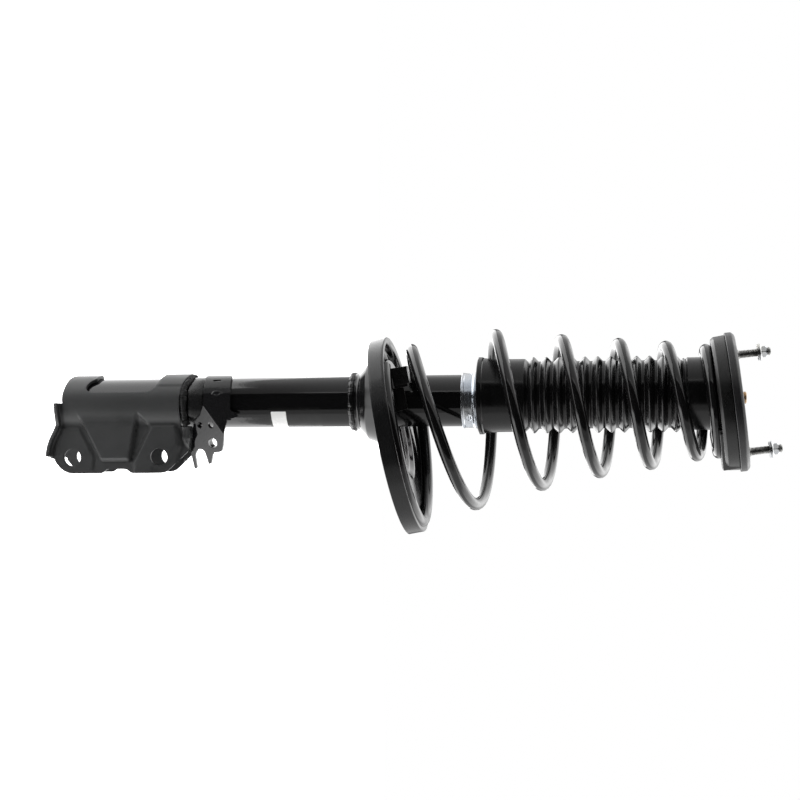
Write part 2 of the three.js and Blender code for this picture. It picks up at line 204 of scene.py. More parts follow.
def coated(name, shades, clouds, patches, roughness, *grains, stops=(0.3, 0.75), span=(0.3, 0.75), ior=None):
    """Colour that drifts in clouds, roughness that drifts in patches, and bumps of one or more grains.

    clouds, patches and a grain's first entry are noise settings; a grain goes on with strength and depth.
    Without an index of refraction it is a bare metal.
    """
    f = Finish(name, Metallic=0.0, IOR=ior) if ior else Finish(name, Metallic=1.0)
    f.use("Base Color", f.ramp(f.noise(*clouds), *zip(stops, shades)))
    f.use("Roughness", f.spread(f.noise(*patches), *span, *roughness))
    for noise, strength, depth in grains:
        f.bump(f.noise(*noise), strength, depth)
    return f.material


def grey(tone, blue=1.0):
    """A neutral shade, or one with more blue in it."""
    return tone, tone, tone * blue


def gloss_paint(name="gloss_black_paint", tone=0.0022):
    """Deep gloss black stoving paint: faint orange peel, dust nibs and handling marks."""
    f = Finish(name, Metallic=0.0, IOR=1.5)
    f.use("Base Color", f.ramp(f.noise(9, 3), (0.3, grey(tone, 1.08)), (0.75, grey(tone + 0.002, 1.08))))
    f.use("Roughness", f.spread(f.noise(55, 4, 0.65), 0.35, 0.8, 0.05, 0.16))
    f.bump(f.noise(240, 1.5), 0.05, 0.0005)
    f.bump(f.spread(f.spots(160), 0.0, 0.09, 1, 0), 0.12, 0.0002)
    return f.material


def satin_paint():
    """Satin dip coat over pressed sheet: fine grain, slight runs, and painted shade that darkens its hollows
    and creases.
    """
    f = Finish("satin_dip_coat", Metallic=0.0, IOR=1.5)
    coat = f.ramp(f.noise(14, 4, 0.6), (0.3, (0.032, 0.033, 0.0335)), (0.75, (0.044, 0.045, 0.0455)))
    # painted shade: the colour turns near black in concave hollows and creases, where shade falls
    f.use("Base Color", f.mixed(f.hollows(0.5, 0.44), coat, grey(0.003)))
    f.use("Roughness", f.spread(f.noise(70, 4, 0.6), 0.3, 0.75, 0.36, 0.48))
    f.bump(f.noise(900, 2), 0.08, 0.0002)
    f.bump(f.noise(60, 2), 0.06, 0.0008)
    return f.material


def skirt_paint():
    """Thin satin paint on drawn sheet: darker and a little tighter than the dip coat."""
    return coated("drawn_sheet_satin", [(0.0055, 0.0056, 0.006), (0.0095, 0.0097, 0.01)], (16, 4, 0.6),
                  (80, 4, 0.6), (0.2, 0.29), ((800, 2), 0.08, 0.0002), ior=1.43)


def spring_paint():
    """Gloss powder coat on the spring wire, with a coarser orange peel."""
    return coated("spring_powder_coat", [(0.0025, 0.0025, 0.0026), (0.005, 0.005, 0.0052)], (12, 3),
                  (80, 3, 0.6), (0.09, 0.2), ((300, 2), 0.09, 0.0006), span=(0.35, 0.75), ior=1.5)


def mount_paint():
    """Satin black coat on the upper mount, slightly mottled."""
    return coated("mount_satin_black", [(0.011, 0.011, 0.012), (0.02, 0.02, 0.021)], (20, 4, 0.6),
                  (90, 4, 0.6), (0.3, 0.45), ((700, 2), 0.07, 0.0002), ior=1.5)


def zinc_plate():
    """Bright zinc plate over drawn steel: fine drawing lines, faint straw and blue tints."""
    f = Finish("bright_zinc_plate", Metallic=1.0)
    lines = f.noise(40, 3, 0.6, f.stretched(40))
    tints = (0.28, (0.52, 0.51, 0.48)), (0.5, (0.56, 0.585, 0.62)), (0.75, (0.47, 0.53, 0.62))
    f.use("Base Color", f.ramp(f.noise(26, 2), *tints))
    f.use("Roughness", f.spread(lines, 0.3, 0.7, 0.16, 0.3))
    return f.bump(lines, 0.12, 0.0002).material


def stud_steel():
    """Plain oiled steel of the studs: dark in the thread roots."""
    f = Finish("stud_steel", Metallic=1.0)
    roots = f.hollows(0.42, 0.56)
    f.use("Base Color", f.ramp(roots, (0.0, (0.05, 0.047, 0.043)), (1.0, (0.36, 0.36, 0.35))))
    return f.use("Roughness", f.spread(f.noise(300, 3), 0.3, 0.7, 0.3, 0.5)).material


def weld_metal():
    """Painted weld bead: glossy lumps with dull, spattered hollows."""
    return coated("painted_weld", [grey(0.002), (0.009, 0.009, 0.0095)], (300, 4), (420, 3), (0.3, 0.75),
                  ((520, 4, 0.6), 0.6, 0.0012), stops=(0.35, 0.7), span=(0.35, 0.65), ior=1.38)


def worked_metal(name, dark, light, smoothest, roughest, grain):
    """Bare worked metal: cloudy colour, grain in its own scale."""
    return coated(name, [dark, light], (30, 4, 0.6), (grain, 3), (smoothest, roughest),
                  ((grain, 3), 0.15, 0.0002), span=(0.3, 0.7))


def black_rubber():
    """Moulded rubber: matt, bloomed in patches, with a fine leathery grain."""
    return coated("black_rubber", [grey(0.004), (0.0085, 0.0085, 0.0083)], (24, 4, 0.6),
                  (110, 4), (0.25, 0.38), ((520, 3), 0.12, 0.0003), ior=1.5)


def boot_plastic():
    """Blow-moulded thermoplastic: semi-gloss with flow marks round the folds."""
    f = Finish("boot_thermoplastic", Metallic=0.0, IOR=1.42)
    flow = f.noise(30, 3, 0.6, f.stretched(5))
    f.use("Base Color", f.ramp(flow, (0.3, (0.0025, 0.0025, 0.0027)), (0.75, (0.0055, 0.0055, 0.0058))))
    f.use("Roughness", f.spread(f.noise(60, 4, 0.6), 0.35, 0.75, 0.16, 0.28))
    return f.bump(f.noise(420, 2), 0.08, 0.0003).material


def foam():
    """Cellular urethane: open pores."""
    f = Finish("urethane_foam", Metallic=0.0, Roughness=0.85)
    pores = f.spots(900)
    f.use("Base Color", f.ramp(pores, (0.0, (0.3, 0.24, 0.13)), (0.5, (0.62, 0.52, 0.32))))
    return f.bump(pores, 0.5, 0.0006).material


def band_plastic():
    """Filled plastic of the piston's band, speckled."""
    f = Finish("filled_plastic_band", Metallic=0.0)
    speckle = f.spots(1400)
    f.use("Base Color", f.ramp(speckle, (0.05, (0.16, 0.11, 0.07)), (0.4, (0.09, 0.065, 0.045))))
    return f.use("Roughness", f.spread(speckle, 0, 0.5, 0.45, 0.6)).material


def label_film():
    """Black gloss label film, a shade smoother than the paint under it."""
    return coated("label_film", [grey(0.004), grey(0.006)], (40, 2),
                  (120, 3), (0.1, 0.18), span=(0.3, 0.7), ior=1.5)


def label_white():
    """White ink of the label's plain stripe."""
    return coated("label_white_ink", [(0.78, 0.78, 0.77), (0.84, 0.84, 0.83)], (90, 3),
                  (150, 3), (0.2, 0.32), span=(0.3, 0.7), ior=1.5)


LOOKS = {
    "gloss_paint": gloss_paint(),
    "satin_paint": satin_paint(),
    "spring_paint": spring_paint(),
    "mount_paint": mount_paint(),
    "zinc_plate": zinc_plate(),
    "yellow_zinc": worked_metal("yellow_zinc", (0.42, 0.29, 0.12), (0.62, 0.47, 0.24), 0.25, 0.4, 200),
    "chromed_rod": worked_metal("ground_chrome", (0.7, 0.7, 0.71), (0.8, 0.8, 0.81), 0.06, 0.12, 500),
    "plain_steel": worked_metal("plain_steel", (0.3, 0.3, 0.3), (0.46, 0.46, 0.45), 0.3, 0.45, 260),
    "sintered_metal": worked_metal("sintered_iron", (0.14, 0.14, 0.145), (0.26, 0.26, 0.265), 0.5, 0.65, 900),
    "bronze": worked_metal("bronze_bush", (0.3, 0.2, 0.11), (0.45, 0.31, 0.18), 0.3, 0.45, 400),
    "black_rubber": black_rubber(),
    "boot_plastic": boot_plastic(),
    "foam": foam(),
    "band_plastic": band_plastic(),
}
SKIRT_PAINT = skirt_paint()
PLATE_PAINT = gloss_paint("gloss_paint_on_sheet", 0.008)
STUD_STEEL = stud_steel()
WELD_METAL = weld_metal()
LABEL_FILM = label_film()
LABEL_WHITE = label_white()


# ---- mesh helpers ----
def smooth(value, low, high):
    """Smooth step from 0 at low to 1 at high, for arrays too."""
    t = np.clip((value - low) / (high - low), 0, 1)
    return t * t * (3 - 2 * t)


def leaning(points, place):
    """Points drawn about their own Z, set on a tilted and offset axis of the damper's frame."""
    points = np.asarray(points, float)
    angle = math.radians(place["tilt"])
    c, s = math.cos(angle), math.sin(angle)
    x, y, w = points.T
    return np.column_stack([place["offset"] + c * x + s * w, y, place["height"] - s * x + c * w])


def shifted(points, offset):
    """Points moved along h."""
    return np.asarray(points, float) + np.array([offset, 0, 0])


def make_mesh(name, points, faces, crease=38):
    """An object from points in millimetres, welded, with outward faces and smooth shading."""
    mesh = bpy.data.meshes.new(name)
    metres = np.asarray(points, float) * MM + np.array([AXIS_X, 0, 0])
    mesh.from_pydata([tuple(p) for p in metres], [], [tuple(f) for f in faces])
    work = bmesh.new()
    work.from_mesh(mesh)
    bmesh.ops.remove_doubles(work, verts=work.verts, dist=2e-6)
    bmesh.ops.dissolve_degenerate(work, edges=work.edges, dist=1e-7)
    bmesh.ops.recalc_face_normals(work, faces=work.faces)
    work.to_mesh(mesh)
    work.free()
    finish_shading(mesh, crease)
    obj = bpy.data.objects.new(name, mesh)
    bpy.context.scene.collection.objects.link(obj)
    return obj


def finish_shading(mesh, crease):
    mesh.polygons.foreach_set("use_smooth", [True] * len(mesh.polygons))
    mesh.set_sharp_from_angle(angle=math.radians(crease))
    mesh.update()


def dress(obj, body, slot, replaces=(), look=None):
    """Material (the look, or else the finish named by the slot), body and the CAD nodes that the piece stands
    for.
    """
    obj.data.materials.clear()
    obj.data.materials.append(look or LOOKS[slot])
    if body:
        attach(obj, body)
    if replaces:
        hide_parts(*replaces)
    return obj


def apply_modifiers(obj, crease=38):
    graph = bpy.context.evaluated_depsgraph_get()
    mesh = bpy.data.meshes.new_from_object(obj.evaluated_get(graph))
    obj.modifiers.clear()
    old = obj.data
    obj.data = mesh
    bpy.data.meshes.remove(old)
    finish_shading(mesh, crease)
    return obj


def filleted(outline, closed=True, steps=5):
    """[(a, b, radius), ...] with each corner rounded to its radius (0 keeps it sharp)."""
    corners = [np.array(p[:2], float) for p in outline]
    count = len(corners)
    result = []
    for k, point in enumerate(corners):
        radius = outline[k][2] if len(outline[k]) > 2 else 0
        if radius <= 0 or (not closed and k in (0, count - 1)):
            result.append(tuple(point))
            continue
        back = corners[k - 1] - point
        ahead = corners[(k + 1) % count] - point
        back_length, ahead_length = np.linalg.norm(back), np.linalg.norm(ahead)
        back, ahead = back / back_length, ahead / ahead_length
        half = math.acos(float(np.clip(back @ ahead, -1, 1))) / 2
        if half > math.pi / 2 - 0.01:
            result.append(tuple(point))
            continue
        reach = min(radius / math.tan(half), 0.49 * back_length, 0.49 * ahead_length)
        radius = reach * math.tan(half)
        middle = (back + ahead) / np.linalg.norm(back + ahead)
        centre = point + middle * radius / math.sin(half)
        start, end = point + back * reach - centre, point + ahead * reach - centre
        turn = math.atan2(start[0] * end[1] - start[1] * end[0], start @ end)
        for step in range(steps + 1):
            angle = turn * step / steps
            c, s = math.cos(angle), math.sin(angle)
            result.append((centre[0] + c * start[0] - s * start[1], centre[1] + s * start[0] + c * start[1]))
    return result


def refined(outline, longest, closed=True):
    """Adds points so that no side of the outline is longer than longest."""
    result = []
    count = len(outline)
    for k in range(count if closed else count - 1):
        start, end = np.array(outline[k], float), np.array(outline[(k + 1) % count], float)
        pieces = max(1, math.ceil(np.linalg.norm(end - start) / longest))
        result.extend(tuple(start + (end - start) * n / pieces) for n in range(pieces))
    if not closed:
        result.append(tuple(outline[-1]))
    return result


def ring_faces(rows, sides, closed=False):
    """Quads that join each ring of points to the next, and the last to the first if closed."""
    faces = []
    for row in range(rows if closed else rows - 1):
        low, high = row * sides, (row + 1) % rows * sides
        for k in range(sides):
            n = (k + 1) % sides
            faces.append((low + k, low + n, high + n, high + k))
    return faces


def lathed(outline, sides=96, closed=True, warp=None):
    """Points and faces of an (r, z) outline turned about Z. warp moves the points afterwards."""
    angles = np.arange(sides) * TAU / sides
    radii, heights = np.array(outline, float).T
    x, y = (np.outer(radii, along(angles)).ravel() for along in (np.cos, np.sin))
    points = np.column_stack([x, y, np.repeat(heights, sides)])
    return (warp(points) if warp else points), ring_faces(len(radii), sides, closed)


def turned(name, outline, sides, body, slot, replaces=(), fine=None, place=None, crease=38, look=None,
           warp=None):
    """A dressed piece turned from a closed (r, z) outline, about the damper's axis or a leaning one."""
    points, faces = lathed(refined(outline, fine) if fine else outline, sides, warp=warp)
    if place:
        points = leaning(points, place)
    return dress(make_mesh(name, points, faces, crease), body, slot, replaces, look)


def merged(*parts):
    """One (points, faces) pair from several."""
    points, faces, base = [], [], 0
    for part_points, part_faces in parts:
        points.append(np.asarray(part_points, float))
        faces.extend(tuple(index + base for index in face) for face in part_faces)
        base += len(part_points)
    return np.vstack(points), faces


def swept(centres, ups, section):
    """section(k) gives (side, up) offsets at path point k; the first direction is side = path x up."""
    centres, ups = np.asarray(centres, float), np.asarray(ups, float)
    count = len(centres)
    ahead = np.roll(centres, -1, 0) - np.roll(centres, 1, 0)
    ahead[0], ahead[-1] = centres[1] - centres[0], centres[-1] - centres[-2]
    ahead /= np.linalg.norm(ahead, axis=1)[:, None]
    sides = np.cross(ahead, ups)
    sides /= np.linalg.norm(sides, axis=1)[:, None]
    ups = np.cross(sides, ahead)
    points = [centres[k] + side * sides[k] + up * ups[k] for k in range(count) for side, up in section(k)]
    ring = len(points) // count
    caps = [tuple(range(ring)), tuple(reversed(range((count - 1) * ring, count * ring)))]
    return np.array(points), ring_faces(count, ring) + caps


def circle(radius, sides, squash=1.0, middle=(0, 0)):
    angles = [TAU * k / sides for k in range(sides)]
    return [(middle[0] + radius * math.cos(a), middle[1] + squash * radius * math.sin(a)) for a in angles]


def inside(points, loop):
    """Which 2-D points lie inside the closed loop."""
    x, y = points[:, 0][:, None], points[:, 1][:, None]
    a = np.array(loop, float)
    b = np.roll(a, -1, 0)
    crosses = (a[:, 1] > y) != (b[:, 1] > y)
    rise = np.where(b[:, 1] == a[:, 1], 1e-12, b[:, 1] - a[:, 1])
    at = a[:, 0] + (y - a[:, 1]) * (b[:, 0] - a[:, 0]) / rise
    return (crosses & (x < at)).sum(1) % 2 == 1


def filled(outline, holes, spacing):
    """2-D points and triangles that fill an outline with holes, with evenly spread inner points."""
    loops = [refined(loop, spacing) for loop in (outline, *holes)]

    def kept(spots):
        keep = inside(spots, loops[0])
        for loop in loops[1:]:
            keep &= ~inside(spots, loop)
        return keep

    border = np.array([p for loop in loops for p in loop])
    low, high = border.min(0), border.max(0)
    rows = np.arange(low[1], high[1], spacing * 0.866)
    columns = np.arange(low[0], high[0], spacing)
    grid = np.array([(x + (k % 2) * spacing / 2, y) for k, y in enumerate(rows) for x in columns])
    grid = grid[kept(grid)]
    near = np.full(len(grid), np.inf)
    for chunk in np.array_split(border, max(1, len(border) // 200)):
        near = np.minimum(near, np.linalg.norm(grid[:, None] - chunk[None], axis=2).min(1))
    points = [Vector(p) for p in np.vstack([border, grid[near > 0.62 * spacing]])]
    edges, base = [], 0
    for loop in loops:
        edges.extend((base + k, base + (k + 1) % len(loop)) for k in range(len(loop)))
        base += len(loop)
    flat, _, faces, *_ = delaunay_2d_cdt(points, edges, [], 0, 1e-7)
    flat = np.array([tuple(p) for p in flat])
    faces = np.array([f for f in faces if len(f) == 3])
    return flat, [tuple(f) for f in faces[kept(flat[faces].mean(1))]]


def bevelled(obj, width, segments, angle=30, crease=38):
    """Applies the object's modifiers and a rounding of the edges sharper than the angle in degrees."""
    edge = obj.modifiers.new("edge", "BEVEL")
    edge.width, edge.segments, edge.limit_method = width * MM, segments, "ANGLE"
    edge.angle_limit = math.radians(angle)
    return apply_modifiers(obj, crease)


def thickened(obj, thickness):
    """Gives a sheet or film its thickness behind the front face. Still to be applied."""
    solid = obj.modifiers.new("sheet", "SOLIDIFY")
    solid.thickness, solid.offset = thickness * MM, -1


WELD_R = 3.2


def weld_bead(name, centres, ups, pitch, seed, look=None):
    """A lumpy fillet weld along a path: overlapping ripples on a flattened round section."""
    rng = random.Random(seed)
    sides = 18
    centres, ups = (resampled(values, centres, 0.45) for values in (centres, ups))
    along = path_lengths(centres)
    count = int(along[-1] / pitch) + 3
    lean = [rng.uniform(-0.22, 0.22) for _ in range(count)]
    lumps = [[rng.uniform(-0.16, 0.16) for _ in range(sides)] for _ in range(count)]

    def section(k):
        ripple = along[k] / pitch
        n = int(ripple)
        share = ripple - n
        blend = share * share * (3 - 2 * share)
        ends = min(1, 0.3 + 0.7 * min(along[k], along[-1] - along[k]) / WELD_R)
        scallop = 0.16 * math.sqrt(max(0, 1 - (2 * share - 1) ** 2)) - 0.08
        ring = []
        for j, (a, b) in enumerate(circle(WELD_R, sides, 0.72)):
            lump = (1 - blend) * lumps[n][j] + blend * lumps[n + 1][j]
            swell = ends * (1 + scallop + lump + 0.5 * ((1 - blend) * lean[n] + blend * lean[n + 1]))
            ring.append((a * swell, b * swell))
        return ring

    points, faces = swept(centres, ups, section)
    return dress(make_mesh(name, points, faces, 70), BODY, "gloss_paint", look=look)


def path_lengths(centres):
    """Distance along a path to each of its points."""
    return np.concatenate([[0], np.cumsum(np.linalg.norm(np.diff(centres, axis=0), axis=1))])


def resampled(values, centres, spacing):
    """Values given at path points, at even steps along the path."""
    along = path_lengths(centres)
    wanted = np.linspace(0, along[-1], max(4, int(along[-1] / spacing)))
    return np.column_stack([np.interp(wanted, along, column) for column in np.array(values, float).T])


# ---- knuckle bracket ----
BEND_FILLET = 12.0
FLAT_START = math.sqrt((WRAP_R + BEND_FILLET) ** 2 - (EAR_OUTER + BEND_FILLET) ** 2)


def bracket_section():
    """Samples of (arc length, h, y, normal h, normal y) from the bracket's back to the ear's edge."""
    rows = []
    fillet_centre = np.array([FLAT_START, -(EAR_OUTER + BEND_FILLET)])
    end = fillet_centre * WRAP_R / np.linalg.norm(fillet_centre)
    sweep = math.acos(-end[0] / WRAP_R)
    for angle in np.linspace(0, sweep, 160):
        normal = np.array([-math.cos(angle), -math.sin(angle)])
        rows.append((WRAP_R * angle, *(normal * WRAP_R), *normal))
    start = rows[-1][0]
    lean = math.acos((EAR_OUTER + BEND_FILLET) / (WRAP_R + BEND_FILLET))
    for angle in np.linspace(0, lean, 24)[1:]:
        toward = np.array([-math.sin(lean - angle), math.cos(lean - angle)])
        rows.append((start + BEND_FILLET * angle, *(fillet_centre + BEND_FILLET * toward), *-toward))
    start = rows[-1][0]
    rows.extend((start + reach, FLAT_START + reach, -EAR_OUTER, 0.0, -1.0) for reach in (1e-3, 40, 60))
    return np.array(rows)


SECTION = bracket_section()


def arc_at(h):
    """Arc length of the bracket's section at a given h."""
    return np.interp(h, SECTION[:, 1], SECTION[:, 0])


def segment_distance(h, z, line):
    """Distance of points to an open polyline."""
    best = np.full(np.shape(h), np.inf)
    for (h0, z0), (h1, z1) in zip(line, line[1:]):
        dh, dz = h1 - h0, z1 - z0
        t = np.clip(((h - h0) * dh + (z - z0) * dz) / (dh * dh + dz * dz), 0, 1)
        best = np.minimum(best, np.hypot(h - h0 - t * dh, z - z0 - t * dz))
    return best


def plateau(h, z, corners, wall):
    """1 inside a convex polygon, falling smoothly to 0 over the wall width outside it."""
    depth = np.full(np.shape(h), np.inf)
    middle = np.mean(corners, axis=0)
    for (h0, z0), (h1, z1) in zip(corners, corners[1:] + corners[:1]):
        length = math.hypot(h1 - h0, z1 - z0)
        side = ((h - h0) * (z1 - z0) - (z - z0) * (h1 - h0)) / length
        inner = ((middle[0] - h0) * (z1 - z0) - (middle[1] - z0) * (h1 - h0)) / length
        depth = np.minimum(depth, side * math.copysign(1, inner))
    return smooth(depth, -wall, 0)


RIB_CORNERS = [(-6, -44.3), (57, -12.8), (57, 12.8), (-6, 24.9)]
VALLEY = [(12, 24.6), (24.3, 34.8), (56, 19), (56, 16)]
PAD_FOOT = [(25, -66), (25, -38.0), (54, -23.5), (66, -25), (75, -40), (62, -66)]
PAD_TOP = [(24, 36), (24, 60), (36, 66), (62, 60), (78, 40), (78, 20), (56, 20.5)]
ROLL_EDGE = [(20, 76), (36, 77), (47.5, 77.5), (60, 64), (72, 49)]


def pressings(h, z, base):
    """How far the ear's pressed forms stand out from its plain section."""
    lift = RIB_OUTER - np.abs(base)
    rib = 0.5 * (lift + np.sqrt(lift * lift + 1.2)) * plateau(h, z, RIB_CORNERS, 2.6)
    rib = rib * (1 - smooth(h, 54, 58)) * smooth(h, -4, 14)
    pads = 0.9 * plateau(h, z, PAD_FOOT, 2.2) + 1.5 * plateau(h, z, PAD_TOP, 4.0)
    valley = -1.3 * plateau(h, z, VALLEY, 2.5)
    roll = -2.6 * (1 - smooth(segment_distance(h, z, ROLL_EDGE), 5.0, 16.0)) * smooth(h, 18, 30)
    clamp = 0.7 * smooth(-h, 17.5, 19.0) * smooth(z, 40, 47)
    return rib + pads + valley + roll + clamp


# lines along which the ear's edges are folded outwards: (h, z, fold angle in degrees)
FOOT_FOLD = [(h, z, 84) for h, z in (
    (-1.5, -52.9), (6, -52.9), (13, -52.8), (19.5, -53.0), (24, -53.9), (28, -55.6),
    (32.6, -57.9), (38, -60.6), (42.7, -62.3), (47, -63.2), (52.8, -63.6),
)]
TOP_FOLD = [
    (23.5, 67.8, 82), (30, 67.8, 82), (36, 68.2, 78), (41, 69.4, 64), (44.5, 71.6, 42), (47.4, 74.6, 10),
]
FOOT_LIP = {"line": FOOT_FOLD, "side": -1, "radius": 3.6, "reach": 2.6}
TOP_LIP = {"line": TOP_FOLD, "side": 1, "radius": 5.8, "reach": 0.9}


def flat_line(fold):
    return np.array([(float(arc_at(h)), z) for h, z, _ in fold["line"]])


def fold_angles(fold):
    return np.radians([angle for _, _, angle in fold["line"]])


def fold_border(fold):
    """The flange's free edge in the flat sheet, from one end of the fold to the other."""
    line = flat_line(fold)
    ahead = np.gradient(line, axis=0)
    ahead /= np.linalg.norm(ahead, axis=1)[:, None]
    across = fold["side"] * np.column_stack([-ahead[:, 1], ahead[:, 0]])
    return [tuple(p) for p in line + across * (fold["radius"] * fold_angles(fold) + fold["reach"])[:, None]]


def past_fold(flat, fold):
    """For flat points beyond a fold: foot on the line, direction away from it, distance and fold angle."""
    line, angles = flat_line(fold), fold_angles(fold)
    foot, away = flat.copy(), np.zeros_like(flat)
    best, angle = np.full(len(flat), np.inf), np.zeros(len(flat))
    beyond = np.zeros(len(flat), bool)
    for k in range(len(line) - 1):
        step = line[k + 1] - line[k]
        along = (flat - line[k]) @ step / (step @ step)
        share = np.clip(along, 0, 1)
        near = line[k] + share[:, None] * step
        offset = flat - near
        distance = np.linalg.norm(offset, axis=1)
        off_end = ((along < -1e-4) & (k == 0)) | ((along > 1 + 1e-4) & (k == len(line) - 2))
        side = fold["side"] * (step[0] * offset[:, 1] - step[1] * offset[:, 0])
        use = distance < best - 1e-9
        foot[use], best[use] = near[use], distance[use]
        away[use] = offset[use] / np.maximum(distance[use], 1e-9)[:, None]
        angle[use] = angles[k] + share[use] * (angles[k + 1] - angles[k])
        beyond[use] = (side > 1e-6)[use] & ~off_end[use]
    return foot, away, np.where(beyond & (best < 16), best, 0), angle


def ear_surface(flat):
    """(arc length, z) points of the near half onto the pressed and folded sheet."""
    foot, bend = flat.copy(), np.zeros((len(flat), 3))
    for fold in (FOOT_LIP, TOP_LIP):
        near, away, distance, angle = past_fold(flat, fold)
        use = distance > 0
        radius = fold["radius"]
        turned = np.minimum(distance / radius, angle)
        rest = np.maximum(distance - radius * angle, 0)
        level = radius * np.sin(turned) + rest * np.cos(turned)
        rise = radius * (1 - np.cos(turned)) + rest * np.sin(turned)
        foot[use] = near[use]
        bend[use] = np.column_stack([away * level[:, None], rise])[use]
    arc, z = foot.T
    h, y, normal_h, normal_y = (np.interp(arc, SECTION[:, 0], SECTION[:, k]) for k in (1, 2, 3, 4))
    aside, up, rise = bend.T
    out = pressings(h, z, y) + rise
    h, y = h + normal_h * out - normal_y * aside, y + normal_y * out + normal_h * aside
    return np.column_stack([h, y, z + up])


def ear_outline():
    """The near half's flat edge in (arc length, z), from the back seam round by the foot."""
    foot = [(-WRAP_R, -44), (-28.6, -46.6), (-26, -49.2), (-19, -51.6), (-10, -53.4), (-4, -53.4)]
    corner = [(55, -63.4), (58, -62.4), (61, -60.0), (64.5, -57), (67.2, -53), (69, -49), (EAR_REACH, -45)]
    notch = [
        (EAR_REACH, -15.5), (68.9, -13.6), (67.4, -11.4), (66, -9.6), (65.4, -7.4),
        (65.4, 8.6), (66.2, 11.6), (68, 14), (69.2, 15.6), (EAR_REACH, 17.6),
    ]
    top = [(EAR_REACH, 46), (69.2, 49.4), (67.8, 52.6), (64, 57.0), (50.6, 71.4)]
    wrap_end = [
        (21, 67.6), (14, 67.4), (4, 67.3), (-6, 67.6), (-15, 68.6), (-22, 71), (-27, 74), (-WRAP_R, 75.5),
    ]
    window = [
        (-WRAP_R, 50), (-27.6, 48.6), (-22, 44.6), (-17.5, 41.8), (-13.8, 38), (-12.2, 33), (-12, 26),
        (-12, -20), (-12.4, -24.4), (-13.8, -27.6), (-16.4, -29.4), (-19.4, -29), (-22.6, -26.6),
        (-26, -21), (-WRAP_R, -18.4),
    ]

    def flat(points):
        return [(float(arc_at(h)), z) for h, z in points]

    return (flat(foot) + [tuple(flat_line(FOOT_LIP)[0])] + fold_border(FOOT_LIP) + flat(corner + notch + top)
            + fold_border(TOP_LIP)[::-1] + [tuple(flat_line(TOP_LIP)[0])] + flat(wrap_end + window))


def knuckle_bracket():
    """The bracket's sheet: the near half laid out flat, pressed and folded, and its mirror image."""
    flat_arc = float(arc_at(BOLT_H))
    holes = [circle(BOLT_HOLE_R, 40, middle=(flat_arc, side * BOLT_Z)) for side in (-1, 1)]
    flat, faces = filled(ear_outline(), holes, 1.3)
    half = ear_surface(flat)
    other = half * np.array([1, -1, 1]), [tuple(reversed(f)) for f in faces]
    obj = make_mesh("knuckle_bracket_sheet", *merged((half, faces), other))
    thickened(face_away(obj), EAR_SHEET)
    return dress(bevelled(obj, 0.5, 2, 50, 40), BODY, "satin_paint", ["knuckle_bracket"])


def face_away(obj):
    """Turns an open sheet's faces so that they look away from the damper's axis."""
    axis = Vector((AXIS_X, 0, 0))
    if sum(p.normal.xy.dot((p.center - axis).xy) * p.area for p in obj.data.polygons) < 0:
        obj.data.flip_normals()
    return obj


def ring_path(radius, start, stop, height, steps):
    """Points and outward directions on a circle about the damper's axis, from angle to angle in degrees."""
    degrees = np.linspace(start, stop, steps)
    angles = np.radians(degrees)
    outwards = np.column_stack([np.cos(angles), np.sin(angles), np.zeros(steps)])
    return outwards * radius + np.column_stack([np.zeros((steps, 2)), height(degrees)]), outwards


def bracket_welds():
    """Fillet welds that join the bracket's top end to the tube, one down each side."""
    def height(angle):
        front = np.cos(np.radians(angle))
        return 71.2 + 4.4 * smooth(-front, 0.5, 1.0) + 1.2 * smooth(front, 0.5, 0.8)

    for side, start, stop, seed in (("near", 184, 312, 11), ("far", 176, 48, 12)):
        centres, outwards = ring_path(TUBE_R + 1.9, start, stop, height, 200)
        weld_bead(f"bracket_weld_{side}", centres, outwards, 2.3, seed, WELD_METAL)
    for sign in (-1, 1):
        centres = np.array([(18.2, sign * 21.6, 68.6), (19.4, sign * 23.0, 72.4), (20.4, sign * 24.0, 77.6)])
        ups = np.tile([-0.6, sign * 0.8, 0.0], (3, 1))
        weld_bead(f"weld_blob_{sign}", centres, ups, 2.0, 15 + sign, WELD_METAL)


def tube_collar():
    """Short satin sleeve between the bracket's weld and the hose bracket's strap."""
    outline = filleted([(TUBE_R + 0.05, 76.2, 0), (TUBE_R + 0.7, 76.2, 0.3), (TUBE_R + 0.7, 90.6, 0.3),
                        (TUBE_R + 0.05, 90.6, 0)])
    turned("tube_collar_sleeve", outline, 128, BODY, "satin_paint", look=SKIRT_PAINT)


# ---- hose bracket ----
HOSE_R = 28.3
HOSE_SHEET = 2.5
HOSE_FOLD = [(0.2, 91.9), (29.4, 113.0)]
HOSE_FOLD_ANGLE = math.radians(20)
HOSE_FOLD_BEND = 5.0
STRAP_BACK_H = -14.5
# arc length, height, radius and depth of the drawn collar behind each hole
HOSE_HOLES = [(22.4, 86.2, 3.1, 5.0), (21.9, 98.7, 3.1, 2.4), (40.6, 99.2, 4.9, 7.5)]


